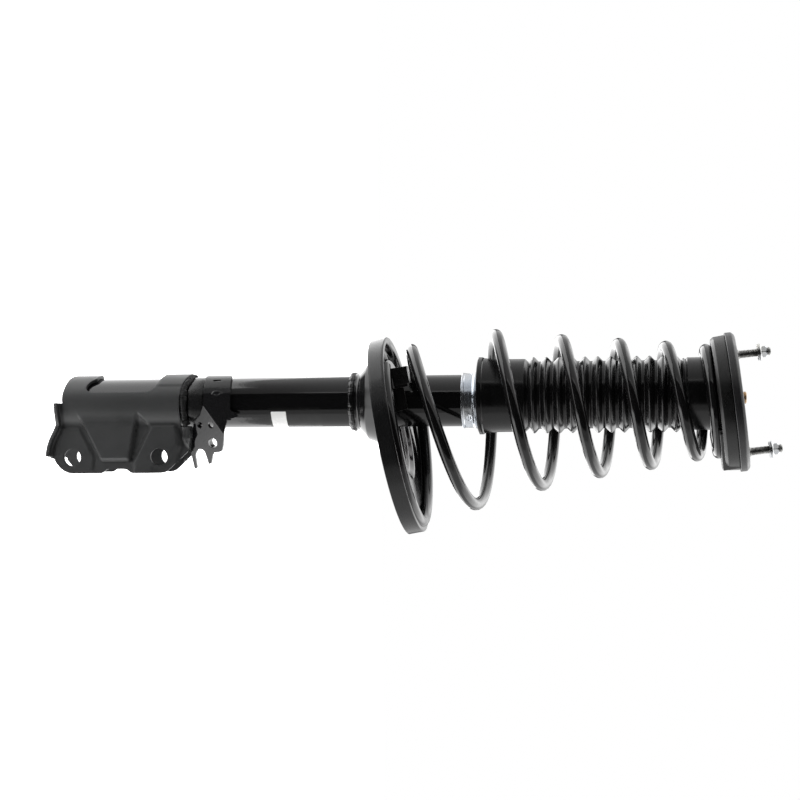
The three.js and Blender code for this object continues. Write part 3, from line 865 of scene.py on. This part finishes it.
def hose_surface(flat):
    """(arc length past the near generator, z) onto the strap, its tangent flat and its folded plate."""
    arc, z = np.asarray(flat, float).T
    wrap = np.minimum(arc, 0) / HOSE_R
    (a0, z0), (a1, z1) = HOSE_FOLD
    length = math.hypot(a1 - a0, z1 - z0)
    across = (z1 - z0) / length, (a0 - a1) / length
    beyond = (arc - a0) * across[0] + (z - z0) * across[1]
    beyond = np.where(arc < -4, 0, np.maximum(beyond, 0) * smooth(arc, -4, 1))
    angle = np.minimum(beyond / HOSE_FOLD_BEND, HOSE_FOLD_ANGLE)
    rest = np.maximum(beyond - HOSE_FOLD_BEND * HOSE_FOLD_ANGLE, 0)
    level = HOSE_FOLD_BEND * np.sin(angle) + rest * math.cos(HOSE_FOLD_ANGLE)
    back = HOSE_FOLD_BEND * (1 - np.cos(angle)) + rest * math.sin(HOSE_FOLD_ANGLE)
    flat_arc = np.maximum(arc, 0) + (level - beyond) * across[0]
    flat_z = z + (level - beyond) * across[1]
    dimple = np.hypot((arc + 9.4) / 2.4, (z - 105.6) / 4.0)
    radius = HOSE_R + 0.45 * np.exp(-((dimple - 1) / 0.22) ** 2)
    h = np.where(arc < 0, radius * np.sin(wrap), flat_arc)
    y = np.where(arc < 0, -radius * np.cos(wrap), -radius + back)
    return np.column_stack([h, y, flat_z])


def hose_bracket():
    """The strap round the tube and its folded plate, cut as one sheet."""
    outline = [
        (-79, 95, 3), (-79, 114, 3), (-42, 114, 4), (-36, 117.6, 5), (-26, 118.2, 0), (-10, 119.5, 0),
        (6.5, 119.4, 2), (13.4, 128.4, 1), (16.6, 116.2, 3), (28.9, 113.1, 3), (43.3, 110.6, 0),
        (49.2, 108.6, 4), (50.4, 98.6, 4), (57.1, 96.7, 2), (61.6, 95.6, 1.2), (62.6, 92.6, 1.2),
        (56, 91.2, 4), (47.3, 88.6, 5), (47.1, 81.0, 5), (53.5, 77.9, 4), (67.2, 78.8, 1.2),
        (67.8, 76.0, 1.2), (50.6, 73.1, 6), (38.1, 76.2, 0), (27.7, 77.8, 0), (18.6, 79.6, 5),
        (11.1, 88.0, 4), (3, 91.6, 4), (-8, 92, 0), (-26, 91.2, 0), (-37, 91.4, 5), (-43, 95, 4),
    ]
    slot = [(-27.6, 99.9, 0.8), (-25.2, 99.9, 0.8), (-25.2, 108.1, 0.8), (-27.6, 108.1, 0.8)]
    holes = [circle(radius, 40, middle=(arc, z)) for arc, z, radius, _ in HOSE_HOLES]
    flat, faces = filled(filleted(outline), [*holes, filleted(slot, steps=3)], 1.1)
    obj = make_mesh("hose_bracket_sheet", hose_surface(flat), faces)
    thickened(face_away(obj), HOSE_SHEET)
    dress(bevelled(obj, 0.35, 2, 50, 40), BODY, "satin_paint", ["hose_bracket"], PLATE_PAINT)
    # the strap's wrapped back keeps its duller drawn skin
    repaint(obj, SKIRT_PAINT, lambda h, y, z: h < STRAP_BACK_H)
    hose_collars()


def hose_collars():
    """Drawn collars behind the plate's holes."""
    for name, (arc, z, hole, depth) in zip(("upper", "middle", "lower"), HOSE_HOLES):
        centre, ahead, aside = hose_surface([(arc, z), (arc + 0.5, z), (arc, z + 0.5)])
        ahead, aside = (ahead - centre) * 2, (aside - centre) * 2
        normal = np.cross(ahead, aside)
        normal *= math.copysign(1, normal[1]) / np.linalg.norm(normal)
        radius, start = hole + 0.05, HOSE_SHEET - 0.4
        wall, end = radius + 1.1, start + depth
        outline = filleted([(radius, start, 0), (radius, end, 0.4), (wall, end, 0.4), (wall, start, 0)])
        points, faces = lathed(outline, 48)
        placed = centre + points @ np.array([ahead, aside, normal])
        dress(make_mesh(f"hose_collar_{name}", placed, faces), BODY, "satin_paint", look=LOOKS["gloss_paint"])


# ---- damper tube, bump cap and label ----
def outer_tube():
    """Plain painted tube, open at both ends."""
    outline = filleted([
        (TUBE_R - 2.6, -42, 0.3), (TUBE_R, -42, 1), (TUBE_R, 366, 1), (TUBE_R - 2.6, 366, 0.3),
    ], steps=3)
    turned("damper_tube", outline, 160, BODY, "gloss_paint", ["outer_tube"])


def bump_cap():
    """Drawn cap with a stepped skirt and three pressed locks."""
    outline = filleted([
        (TUBE_R + 0.3, 350, 0.4), (27.4, 350, 0.6), (27.4, 352.4, 0.8), (26.9, 353.4, 0.8), (27, 361, 1.5),
        (27.8, 363, 1.5), (27.8, 367.4, 2.2), (24.6, 369.7, 1.5), (12.5, 369.7, 0.4), (12.5, 366.3, 0.4),
        (24.8, 366.3, 0.5), (TUBE_R + 0.3, 365.4, 0.5),
    ])

    def locks(points):
        radius = np.hypot(points[:, 0], points[:, 1])
        angle = np.degrees(np.arctan2(points[:, 1], points[:, 0]))
        push = np.zeros(len(points))
        for lock_angle in (-50, 70, -170):
            offset = (angle - lock_angle + 180) % 360 - 180
            reach = np.hypot(offset * math.pi / 180 * 27 / 4.2, (points[:, 2] - 357.6) / 2.6)
            push += 0.7 * (1 - smooth(reach, 0.35, 1.0)) * (radius > 26)
        scale = (radius - push) / np.maximum(radius, 1e-6)
        return points * np.column_stack([scale, scale, np.ones(len(points))])

    turned("bump_cap_drawn", outline, 240, BODY, "zinc_plate", ["bump_cap"], 1.0, warp=locks)


def curved_patch(name, radius, start, stop, low, high, corner, look):
    """A thin film on the tube between two angles (degrees) and two heights, with round corners."""
    first, last = (math.radians(angle) * radius for angle in (start, stop))
    outline = [(arc, z, corner) for arc, z in ((first, low), (last, low), (last, high), (first, high))]
    flat, faces = filled(filleted(outline), [], 2.0)
    angle = flat[:, 0] / radius
    points = np.column_stack([radius * np.cos(angle), radius * np.sin(angle), flat[:, 1]])
    obj = make_mesh(name, points, faces)
    thickened(face_away(obj), 0.05)
    return dress(apply_modifiers(obj, 30), BODY, "gloss_paint", look=look)


def blank_label():
    """A label with one plain stripe and nothing printed on it."""
    curved_patch("tube_label_film", TUBE_R + 0.09, -79, -8, 157.4, 210, 2.5, LABEL_FILM)
    curved_patch("tube_label_stripe", TUBE_R + 0.16, -69, -9, 159.8, 174.9, 0.6, LABEL_WHITE)


# ---- lower spring seat ----
def cut_with(obj, tool):
    cutter = obj.modifiers.new("cut", "BOOLEAN")
    cutter.operation, cutter.object, cutter.solver = "DIFFERENCE", tool, "EXACT"
    apply_modifiers(obj)
    bpy.data.objects.remove(tool)


def repaint(obj, look, where):
    """A second material on the faces whose centre, in millimetres from the damper's axis, passes the test."""
    obj.data.materials.append(look)
    for face in obj.data.polygons:
        x, y, z = face.center / MM
        if where(x - AXIS_X / MM, y, z):
            face.material_index = 1


def lower_seat():
    """Deep-drawn seat: skirt turned down, flat rim, a groove for the dead turn and a raised middle."""
    skirt = filleted([
        (0, 3.2, 0), (40, 3.2, 3), (45, 7.4, 3), (73.6, 7.4, 3), (77.4, -2.4, 3), (90, -2.4, 2),
        (SEAT_R - 2.6, 6.0, 2), (SEAT_R - 2.6, -4.4, 0.4), (SEAT_R, -4.4, 0.6), (SEAT_R, 11.5, 1.3),
        (92.2, 11.5, 3), (90.6, 0.8, 3), (79.6, 0.8, 3), (76, 9.4, 3), (44, 9.4, 4), (39, 5.2, 3),
        (0, 5.2, 0),
    ], closed=False)
    points, faces = lathed(refined(skirt, 2.2, closed=False), 224, closed=False)
    dish = make_mesh("spring_seat_dish", leaning(points, SEAT), faces)
    bore = [(0, 200), (TUBE_R + 0.3, 200), (TUBE_R + 0.3, 340), (0, 340)]
    cut_with(dish, make_mesh("bore_tool", *lathed(bore, 128, closed=False)))
    dress(dish, BODY, "gloss_paint", ["lower_spring_seat"])
    angle = math.radians(SEAT["tilt"])
    c, s = math.cos(angle), math.sin(angle)

    def on_skirt(h, y, z):
        h, z = h - SEAT["offset"], z - SEAT["height"]
        return math.hypot(c * h - s * z, y) > SEAT_R - 1.0 and s * h + c * z < SEAT_RIM

    # the skirt's outside is duller than the drawn inside
    repaint(dish, SKIRT_PAINT, on_skirt)


def seat_neck():
    """Flared neck under the dish: a thin collar on the tube that opens into a cone."""
    outline = filleted([
        (TUBE_R + 0.3, 241.5, 0.5), (28.2, 241.5, 1.0), (28.6, 247.5, 3), (38.6, 256.2, 3), (43.5, 270.5, 0),
        (40.5, 270.5, 0), (36.0, 257.8, 3), (27.6, 250.5, 2), (TUBE_R + 0.3, 250.5, 0),
    ])
    turned("seat_neck_cone", outline, 160, BODY, "gloss_paint", fine=3)
    centres, outwards = ring_path(TUBE_R + 1.6, 0, 357, lambda angle: np.full(len(angle), 241.2), 260)
    weld_bead("seat_weld", centres, outwards, 2.6, 21)


def seat_pad():
    """Rubber insulator under the coil's dead turn, with a rounded end stop and a locating tongue."""
    angles = np.radians(np.linspace(-152, -58, 70))
    section = filleted([(-7.2, 0, 0.8), (7.2, 0, 0.8), (7.2, 6.2, 1.2), (5.6, 6.8, 0.8), (4.6, 3.9, 1.5),
                        (-4.6, 3.9, 1.5), (-5.6, 6.8, 0.8), (-7.2, 6.2, 1.2)], steps=3)
    x, y = DEAD_TURN_R * np.cos(angles), DEAD_TURN_R * np.sin(angles)
    centres = np.column_stack([x, y, np.full(len(angles), 1.1)])
    ups = np.tile([0, 0, 1.0], (len(angles), 1))
    points, faces = swept(centres, ups, lambda k: section)
    obj = make_mesh("spring_pad_strip", leaning(points, SEAT), faces)
    dress(obj, BODY, "black_rubber", ["lower_spring_pad"])
    rubber_block("pad_end_stop", (-33.4, -15.8), (-58, -44), (286.6, 302.4), 2.4)
    rubber_block("pad_stop_foot", (-17.5, -13.4), (-57, -46), (288.6, 302.0), 1.2)
    rubber_block("pad_tongue", (-13.6, 9.4), (-47.5, -44.5), (287.8, 298.6), 1.4)


def rubber_block(name, h_range, y_range, z_range, edge):
    """Moulded block with rounded edges and a little draft, leaning with the seat."""
    low, high = np.array([h_range, y_range, z_range], float).T
    middle, half = (low + high) / 2, (high - low) / 2
    work = bmesh.new()
    bmesh.ops.create_cube(work, size=2.0)
    bmesh.ops.bevel(work, geom=work.edges[:] + work.verts[:], offset=0.02, segments=1, affect="EDGES")
    points = []
    for vert in work.verts:
        draft = 1 - 0.06 * (vert.co.z + 1) / 2
        points.append(half * np.array([vert.co.x * draft, vert.co.y * draft, vert.co.z]) + (0, middle[1], 0))
    work.verts.index_update()
    faces = [tuple(v.index for v in face.verts) for face in work.faces]
    work.free()
    place = {"tilt": SEAT["tilt"], "offset": middle[0], "height": middle[2]}
    obj = make_mesh(name, leaning(points, place), faces)
    dress(bevelled(obj, edge, 4, 25, 30), BODY, "black_rubber")


# ---- coil spring ----
def coil_at(turn):
    """Height, slope, offset and radius of the coil at a turn: a cubic through the stations."""
    rows = np.array(COIL_STATIONS)
    last = len(rows) - 1
    k = int(np.clip(np.searchsorted(rows[:, 0], turn, side="right") - 1, 0, last - 1))
    before, start, stop, after = rows[np.clip([k - 1, k, k + 1, k + 2], 0, last)]
    span = stop[0] - start[0]
    u = min(max((turn - start[0]) / span, 0), 1)
    start_slope = (stop - before) / (stop[0] - before[0])
    stop_slope = (after - start) / (after[0] - start[0])
    values = ((1 + 2 * u) * (1 - u) ** 2 * start + u * (1 - u) ** 2 * span * start_slope
              + u * u * (3 - 2 * u) * stop + u * u * (u - 1) * span * stop_slope)
    return values[1:]


def coil_centre(turn):
    height, slope, offset, radius = coil_at(turn)
    reach = radius * math.cos(TAU * turn)
    return (offset + reach, radius * math.sin(TAU * turn), height + slope * reach)


def follow_stroke(obj, weights, heights=None):
    """Bakes an elastic piece's transform. The share of the rod's travel that it would take up, for each
    vertex or at certain heights, is worked out but not used.
    """
    if heights:
        weights = np.interp([v.co.z / MM for v in obj.data.vertices], heights, weights)
    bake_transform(obj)


def coil_spring():
    """Round wire along the coil's line; the share of the stroke for its working turns is worked out but not
    applied.
    """
    per_turn, sides = 56, 28
    turns = np.linspace(COIL_FIRST, COIL_LAST, int((COIL_LAST - COIL_FIRST) * per_turn) + 1)
    centres = np.array([coil_centre(t) for t in turns])
    ups = np.tile([0, 0, 1.0], (len(turns), 1))
    # the first and last rings close down to a small chamfer
    trim = {0: 0.86, len(turns) - 1: 0.86}
    points, faces = swept(centres, ups, lambda k: circle(WIRE_R * trim.get(k, 1), sides))
    # the share is nil as far as the pad's end stop, which holds the coil up there, and full under the mount
    foot, top = coil_at(STILL_BELOW)[0], coil_at(STILL_ABOVE)[0]
    heights = np.array([coil_at(t)[0] for t in turns])
    share = np.clip((heights - foot) / (top - foot), 0, 1)
    share[turns <= STILL_BELOW] = 0
    share[turns >= STILL_ABOVE] = 1
    obj = make_mesh("coil_wire", points, faces, 50)
    dress(obj, None, "spring_paint", ["coil_spring"])
    follow_stroke(obj, np.repeat(share, sides))


# ---- dust boot ----
BOOT_RIGID_TOP = 414.0
BELLOWS_TOP = 566.0
# the boot's foot is given less of the stroke, so that it would stop above the seat; the share is not applied
BOOT_FOOT_SHARE = 0.45
CONVOLUTIONS = 12


def dust_boot():
    """Bellows on a plain sleeve that ends in a collar, thin-walled."""
    pitch = (BELLOWS_TOP - BOOT_RIGID_TOP) / CONVOLUTIONS
    peak, valley, wall = 38.0, 33.3, 0.8
    outer = filleted([
        (34.6, 366.0, 0.3), (38.3, 366.0, 1.0), (38.3, 370.6, 1.2), (36.6, 372.6, 1.2), (36.2, 374.6, 1.0),
        (36.0, BOOT_RIGID_TOP - 1.5, 1.0), (valley + 0.4, BOOT_RIGID_TOP + 0.8, 0.8),
    ], closed=False, steps=4)
    folds = []
    for k in range(CONVOLUTIONS):
        low = BOOT_RIGID_TOP + k * pitch
        fold = [(valley, 0.14, 1.2), (peak - 0.9, 0.44, 1.0), (peak, 0.56, 0.8), (peak - 1.3, 0.68, 1.0),
                (valley, 0.92, 1.2)]
        folds += [(radius, low + share * pitch, corner) for radius, share, corner in fold]
    outer += filleted(folds, closed=False, steps=3)
    inner = [(r - wall, z) for r, z in reversed(outer[8:])]
    profile = outer + [(valley - wall, BELLOWS_TOP + 1)] + inner + [(34.0, 412), (34.0, 368)]
    points, faces = lathed(profile, 112)
    obj = make_mesh("boot_bellows", shifted(points, BOOT_OFFSET), faces, 40)
    dress(obj, None, "boot_plastic", ["dust_boot"])
    follow_stroke(obj, [BOOT_FOOT_SHARE, 1.0], [BOOT_RIGID_TOP, BELLOWS_TOP])


def boot_cup():
    """The boot's stiff upper end, which rides with the mount: a small ridge, the cup and its flange."""
    base = [
        (32.4, BELLOWS_TOP + 0.2, 0), (33.8, BELLOWS_TOP + 0.2, 0.4), (35.2, 567.8, 0.6), (34.0, 569.2, 0.6),
        (34.2, 570.2, 0.4), (35.6, 571.4, 0.8), (35.8, 592.5, 0), (35.8, 612, 0), (32.4, 612, 0),
    ]
    points, faces = lathed(refined(filleted(base), 3), 128)
    square = [(-80, -80), (80, -80), (80, 80), (-80, 80)]
    top_cut = leaning([(x, y, w) for w in (-14.7, 60) for x, y in square], MOUNT)
    box_faces = [(3, 2, 1, 0), (4, 5, 6, 7), (0, 1, 5, 4), (1, 2, 6, 5), (2, 3, 7, 6), (3, 0, 4, 7)]
    cup = make_mesh("boot_cup", shifted(points, BOOT_OFFSET), faces, 40)
    cut_with(cup, make_mesh("cup_tool", top_cut, box_faces))
    dress(cup, ROD, "boot_plastic")
    flange = filleted([(33.0, -17.6, 0.5), (41.0, -17.6, 0.8), (41.0, -14.7, 0.4), (33.0, -14.7, 0.4)])
    turned("boot_flange", flange, 128, ROD, "boot_plastic", place=MOUNT, warp=lambda p: shifted(p, -2))


# ---- upper mount ----
def upper_insulator():
    """Rubber insulator: turned body with a moulded lip, a step near the plate and a locating tab."""
    body = filleted([
        (40, -14.1, 1), (41.5, -14.1, 0.6), (42.0, -10.5, 1.5), (58.0, -10.5, 1.5), (58.6, -14.1, 0.6),
        (63.6, -14.1, 1.6), (65.6, -11.2, 2.0), (66.4, -0.9, 0.6), (65.8, -0.15, 0.2), (40, -0.15, 0.5),
    ])
    turned("insulator_body", body, 160, ROD, "black_rubber", ["upper_spring_pad"], 4, MOUNT)
    tab = filleted([(24, -58, 4), (64.8, -20, 3), (64.8, 20, 3), (24, 58, 4)], steps=4)
    points = [(r * draft, s, w) for w, draft in ((-17.0, 1), (-0.4, 0.995)) for r, s in tab]
    count = len(tab)
    faces = ring_faces(2, count) + [tuple(reversed(range(count))), tuple(range(count, 2 * count))]
    obj = make_mesh("insulator_tab", leaning(points, MOUNT), faces)
    dress(bevelled(obj, 0.9, 3), ROD, "black_rubber")


def mount_plate():
    """Pressed mount plate with a rounded rim and a shallow ring round its core."""
    outline = filleted([
        (24.3, 0, 0.4), (68.0, 0, 0.3), (68.4, 0.6, 0.5), (68.4, 6.4, 2.6), (65.4, 9.5, 2.6), (38, 9.5, 1),
        (36.5, 9.0, 1), (27.5, 9.0, 1), (26, 9.5, 0.8), (24.3, 9.5, 0.4),
    ])
    points, faces = lathed(refined(outline, 4), 192)
    obj = make_mesh("mount_plate_cast", leaning(points, MOUNT), faces)
    for x in STUD_X.values():
        step = [(0, -1), (7.8, -1), (7.8, 3.4), (4.3, 3.4), (4.3, 12), (0, 12)]
        tool, tool_faces = lathed(step, 48, closed=False)
        cut_with(obj, make_mesh("stud_tool", leaning(shifted(tool, x), MOUNT), tool_faces))
    dress(obj, ROD, "mount_paint", ["mount_plate"])


STUD_X = {"upper": -45.5, "lower": 50.0}
THREAD_PITCH = 1.25
WASHER_BASE, NUT_BASE = 29.9, 31.6


def threaded(radius, depth, low, high, sides=40):
    """Rings with a helical V thread between two heights, which runs out at both ends."""
    rows = int((high - low) / THREAD_PITCH * 6)
    angles = np.arange(sides) * TAU / sides
    points = []
    for z in np.linspace(low, high, rows + 1):
        phase = (z / THREAD_PITCH - angles / TAU) % 1
        run_out = min(1, (high - z) / THREAD_PITCH, (z - low) / THREAD_PITCH)
        groove = depth * (1 - np.abs(2 * phase - 1)) * run_out
        ring = radius - groove
        points.append(np.column_stack([ring * np.cos(angles), ring * np.sin(angles), np.full(sides, z)]))
    return np.vstack(points), ring_faces(rows + 1, sides)


def stud_body(side, x):
    """A pressed-in stud: flat head, collar, thread and chamfered tip."""
    shank = filleted([(0, 0.6, 0), (7.5, 0.6, 0.4), (7.5, 3.1, 0.4), (4, 3.1, 0), (4, 9, 0)], closed=False)
    collar = filleted([(4.0, 9.5, 0), (5.4, 9.6, 0.4), (5.0, 11.4, 0.6), (4.0, 12.2, 0)], closed=False)
    tip = filleted([(4.0, 41.4, 0), (3.1, 42.8, 0.3), (0, 42.8, 0)], closed=False)
    lower = lathed(shank + collar, 40, closed=False)
    thread = threaded(4.0, 0.62, 12.2, 41.4)
    points, faces = merged(lower, thread, lathed(tip, 40, closed=False))
    obj = make_mesh(f"stud_{side}_threaded", leaning(shifted(points, x), MOUNT), faces, 50)
    dress(obj, ROD, "plain_steel", [f"stud_{side}"], look=STUD_STEEL)


def hex_ring(points, across, high):
    """Pulls a turned body to a hexagon, with its corners chamfered at the free end."""
    angle = np.arctan2(points[:, 1], points[:, 0])
    radius = np.hypot(points[:, 0], points[:, 1])
    flat = across / 2
    within = (angle + math.pi / 6) % (math.pi / 3) - math.pi / 6
    hexagon = flat / np.cos(within)
    crown = across / math.sqrt(3) * 0.985 - 0.55 * np.maximum(0, 1.6 - (high - points[:, 2]))
    target = np.where(radius > flat * 0.9, np.minimum(hexagon, crown), radius)
    scale = target / np.maximum(radius, 1e-9)
    return points * np.column_stack([scale, scale, np.ones(len(points))])


def flange_nut(side, x):
    """A hexagon on its flange, screwed down to the washer."""
    flange = filleted([(4.3, 0, 0.2), (8.3, 0, 0.3), (8.3, 1.4, 0.5), (6.2, 2.8, 1.2), (4.3, 2.9, 0)])
    body = refined([(4.3, 0.6), (5.8, 0.6), (5.8, 7.0), (5.2, 7.4), (4.9, 7.4), (4.3, 6.9)], 0.4)
    hexagon = lathed(body, 120, warp=lambda p: hex_ring(p, 10.8, 7.4))
    points, faces = merged(lathed(flange, 120), hexagon)
    points = points + np.array([x, 0, NUT_BASE])
    obj = make_mesh(f"nut_{side}_flanged", leaning(points, MOUNT), faces, 32)
    dress(obj, ROD, "zinc_plate", [f"nut_{side}"])


def washer(side, x):
    """A loose washer that lies under its nut."""
    outline = filleted([(4.3, 0, 0.2), (8.0, 0, 0.4), (8.0, 1.5, 0.4), (4.3, 1.5, 0.2)])
    turned(f"washer_{side}_flat", outline, 96, ROD, "zinc_plate", [f"washer_{side}"], place=MOUNT, crease=32,
           warp=lambda points: points + np.array([x, 0, WASHER_BASE]))


def rod_and_nut():
    """Ground rod with a threaded end that just shows above the mount, and its nut."""
    shank = filleted([
        (0, 249, 0), (7, 249, 0.8), (7, 286, 0), (11, 286, 0.5), (11, 594, 0.8), (6, 594, 0), (6, 604, 0),
    ], closed=False)
    tip = filleted([(6, 627.2, 0), (5.1, 628.4, 0.4), (2.6, 628.4, 0.3), (2.4, 626.4, 0.3), (0, 626.4, 0)],
                   closed=False)
    thread = threaded(6.0, 0.7, 604, 627.2, sides=64)
    dress(make_mesh("rod_ground", *lathed(shank, 64, closed=False)), ROD, "chromed_rod", ["piston_rod"])
    points, faces = merged(thread, lathed(tip, 64, closed=False))
    dress(make_mesh("rod_thread", points, faces, 50), ROD, "chromed_rod", look=LOOKS["bronze"])
    body = refined([(6.35, 611.8), (9.0, 611.8), (9.0, 621.8), (7.0, 621.8), (6.35, 621.2)], 0.6)
    nut = lathed(body, 120, warp=lambda p: hex_ring(p, 18.0, 621.8))
    dress(make_mesh("rod_nut_hex", *nut, 32), ROD, "yellow_zinc", ["rod_nut"])


def bump_stop():
    """Foam bump stop with three waists."""
    outline = filleted([
        (11.4, 520, 1), (15.8, 520, 2), (19, 525.5, 3), (19, 530, 2), (16.4, 535, 2), (21, 541, 3),
        (21, 548, 3), (17.8, 554, 2), (22.8, 560, 3), (22.8, 590, 1), (11.4, 590, 1),
    ])
    obj = turned("bump_stop_foam", outline, 96, None, "foam", ["bump_stop"], 2, crease=40)
    follow_stroke(obj, [0.875, 1.0], [520, 590])


def mount_core():
    """Rubber core bonded in the mount plate, with a moulded ring groove in its top."""
    outline = filleted([
        (12.4, -12.6, 1.5), (20, -12.6, 3), (24.0, -8, 2), (24.0, 5.4, 1.2), (20.5, 6.5, 1.6), (18.5, 4.2, 2),
        (15.0, 4.2, 2), (13.4, 6.0, 0.8), (12.4, 6.0, 0.4),
    ])
    points, faces = lathed(refined(outline, 2), 96)
    placed = leaning(points, MOUNT)
    # its bore stays in line with the rod
    bore = np.hypot(points[:, 0], points[:, 1]) < 12.6
    placed[bore, 0] = points[bore, 0]
    dress(make_mesh("mount_core_rubber", placed, faces), ROD, "black_rubber", ["mount_bush"])


# ---- assembly of the looks ----
def carried_over():
    """CAD nodes that keep their shape get their procedural finish."""
    slots = {s["node"]: s["material_slot"] for s in frame["record"]["subparts"]}
    for name, node in frame["nodes"].items():
        if node.hide_render:
            continue
        node.data.materials.clear()
        node.data.materials.append(LOOKS[slots[name]])


def build():
    outer_tube()
    bump_cap()
    blank_label()
    knuckle_bracket()
    bracket_welds()
    tube_collar()
    hose_bracket()
    lower_seat()
    seat_neck()
    seat_pad()
    coil_spring()
    dust_boot()
    boot_cup()
    upper_insulator()
    mount_plate()
    for side, x in STUD_X.items():
        stud_body(side, x)
        washer(side, x)
        flange_nut(side, x)
    rod_and_nut()
    bump_stop()
    mount_core()
    carried_over()


# ---- stage ----
FLOOR_LEVEL = -0.6
CAMERA_DISTANCE = 2.0
CAMERA_DROP = math.radians(7.6)
CAMERA_ROLL = math.radians(0.6)
AIM = Vector((AXIS_X - 0.0012, 0, 0.2867))


def camera():
    """Looks along the bolts from a little above, with the damper upright in the picture."""
    forward = Vector((0, math.cos(CAMERA_DROP), -math.sin(CAMERA_DROP)))
    level = Vector((0, math.sin(CAMERA_DROP), math.cos(CAMERA_DROP)))
    up = Vector((-1, 0, 0))
    c, s = math.cos(CAMERA_ROLL), math.sin(CAMERA_ROLL)
    right, top = level * c - up * s, up * c + level * s
    data = bpy.data.cameras.new("camera")
    data.lens, data.sensor_width = 90, 36
    obj = bpy.data.objects.new("camera", data)
    turn = Matrix((right, top, -forward)).transposed().to_4x4()
    obj.matrix_world = Matrix.Translation(AIM - CAMERA_DISTANCE * forward) @ turn
    bpy.context.scene.collection.objects.link(obj)
    bpy.context.scene.camera = obj


def studio():
    """White cyclorama, with the dark side of the room behind the camera and a gap behind the part."""
    world = bpy.data.worlds.new("studio")
    bpy.context.scene.world = world
    w = Shading(world)
    toward = w.node("SeparateXYZ", Vector=w.node("TexCoord").outputs["Generated"]).outputs

    def product(*values):
        return w.math("MULTIPLY", *values)

    def total(*values):
        return w.math("ADD", *values)

    def step(value, low, high):
        node = w.node("MapRange", Value=value, From_Min=low, From_Max=high)
        node.interpolation_type = "SMOOTHSTEP"
        return node.outputs["Result"]

    round_axis = w.math("ARCTAN2", product(toward["X"], -1.0), product(toward["Y"], -1.0))

    def turn(low, high):
        """A step at an angle round the damper, in degrees from straight behind the camera."""
        return step(round_axis, math.radians(low), math.radians(high))

    shade = total(product(turn(-58, -53), 0.45), product(turn(-37, -33), 0.52))
    dark = product(shade, turn(43, 38), step(toward["Z"], -0.66, -0.52))
    # the upper lamp fades towards its near edge and towards the bracket's end, and ends in a bright strip
    fade = product(turn(105, 45), turn(20, 40), 0.4)
    fade_end = product(step(toward["Z"], -0.08, -0.22), turn(20, 40), turn(110, 80), 0.22)
    strip = product(turn(41, 42), turn(45.5, 44.5), step(toward["Z"], -0.17, -0.12), 1.1)
    # the gap straight behind the part, which only grazing reflections see
    across = w.math("DIVIDE", toward["X"], 0.42)
    along = w.math("DIVIDE", total(toward["Z"], 0.22), 0.26)
    off_axis = total(product(across, across), product(along, along))
    gap = product(step(off_axis, 1.4, 0.8), step(toward["Y"], 0.0, 0.3), 0.9)
    # dark upper corner beyond the bracket's end
    corner = product(step(toward["Z"], -0.5, -0.66), step(toward["X"], 0.34, 0.22), 0.93)
    # strong lamps: beyond the mount, and low beyond the bracket
    far_end = product(step(toward["Z"], 0.2, 0.42), step(toward["Y"], -0.1, 0.3), 1.6)
    near_end = product(step(toward["Z"], -0.42, -0.58), step(toward["X"], 0.24, 0.36), 2.8)
    taken = total(total(dark, gap), total(fade, fade_end, corner))
    strength = w.math("MAXIMUM", w.math("SUBTRACT", total(1.0, total(strip, far_end, near_end)), taken), 0.02)
    seen = w.node("LightPath").outputs["Is Camera Ray"]
    background = w.nodes["Background"]
    w.feed(background.inputs["Strength"], total(product(strength, w.math("SUBTRACT", 1.0, seen)), seen))
    background.inputs["Color"].default_value = (1.0, 1.0, 1.0, 1.0)


def floor():
    """A pale lit table well below the part."""
    corners = [(x, y, FLOOR_LEVEL) for x, y in ((-3.0, -0.95), (3.0, -0.95), (3.0, 6.0), (-3.0, 6.0))]
    mesh = bpy.data.meshes.new("floor")
    mesh.from_pydata(corners, [], [(0, 1, 2, 3)])
    obj = bpy.data.objects.new("floor", mesh)
    bpy.context.scene.collection.objects.link(obj)
    f = Finish("pale_table", Roughness=0.7, Metallic=0.0)
    white = f.ramp(f.noise(1.5), (0.3, grey(0.86)), (0.7, grey(0.9)))
    f.shader.inputs["Emission Color"].default_value = (1, 1, 1, 1)
    # reflections of the near end find it unlit, like the dark end of the room round it
    apart = f.node("SeparateXYZ", Vector=f.place).outputs
    beside = f.math("MULTIPLY", f.spread(apart["X"], 0.36, 0.22), f.spread(apart["X"], -0.8, -0.5))
    before = f.math("MULTIPLY", f.spread(apart["Y"], 1.1, 0.8), f.spread(apart["Y"], -0.9, -0.6))
    unlit = f.math("MULTIPLY", beside, before, f.node("LightPath").outputs["Is Glossy Ray"])
    f.use("Emission Strength", f.spread(unlit, 0, 1, 1.6, 0.0))
    f.use("Base Color", f.mixed(unlit, white, grey(0.02)))
    mesh.materials.append(f.material)


def soft_light(name, location, size, power):
    """A rectangular lamp aimed at the part, which neither the camera nor reflections see."""
    data = bpy.data.lights.new(name, "AREA")
    data.shape, data.energy = "RECTANGLE", power
    data.size, data.size_y = size
    obj = bpy.data.objects.new(name, data)
    obj.location = location
    obj.rotation_mode = "QUATERNION"
    obj.rotation_quaternion = (AIM - Vector(location)).to_track_quat("-Z", "Y")
    obj.visible_camera = obj.visible_glossy = False
    bpy.context.scene.collection.objects.link(obj)


camera()
studio()
floor()
soft_light("soft_top", (-1.6, -0.3, 0.5), (1.6, 1.2), 3)
bpy.context.scene.view_settings.view_transform = "Standard"
build()
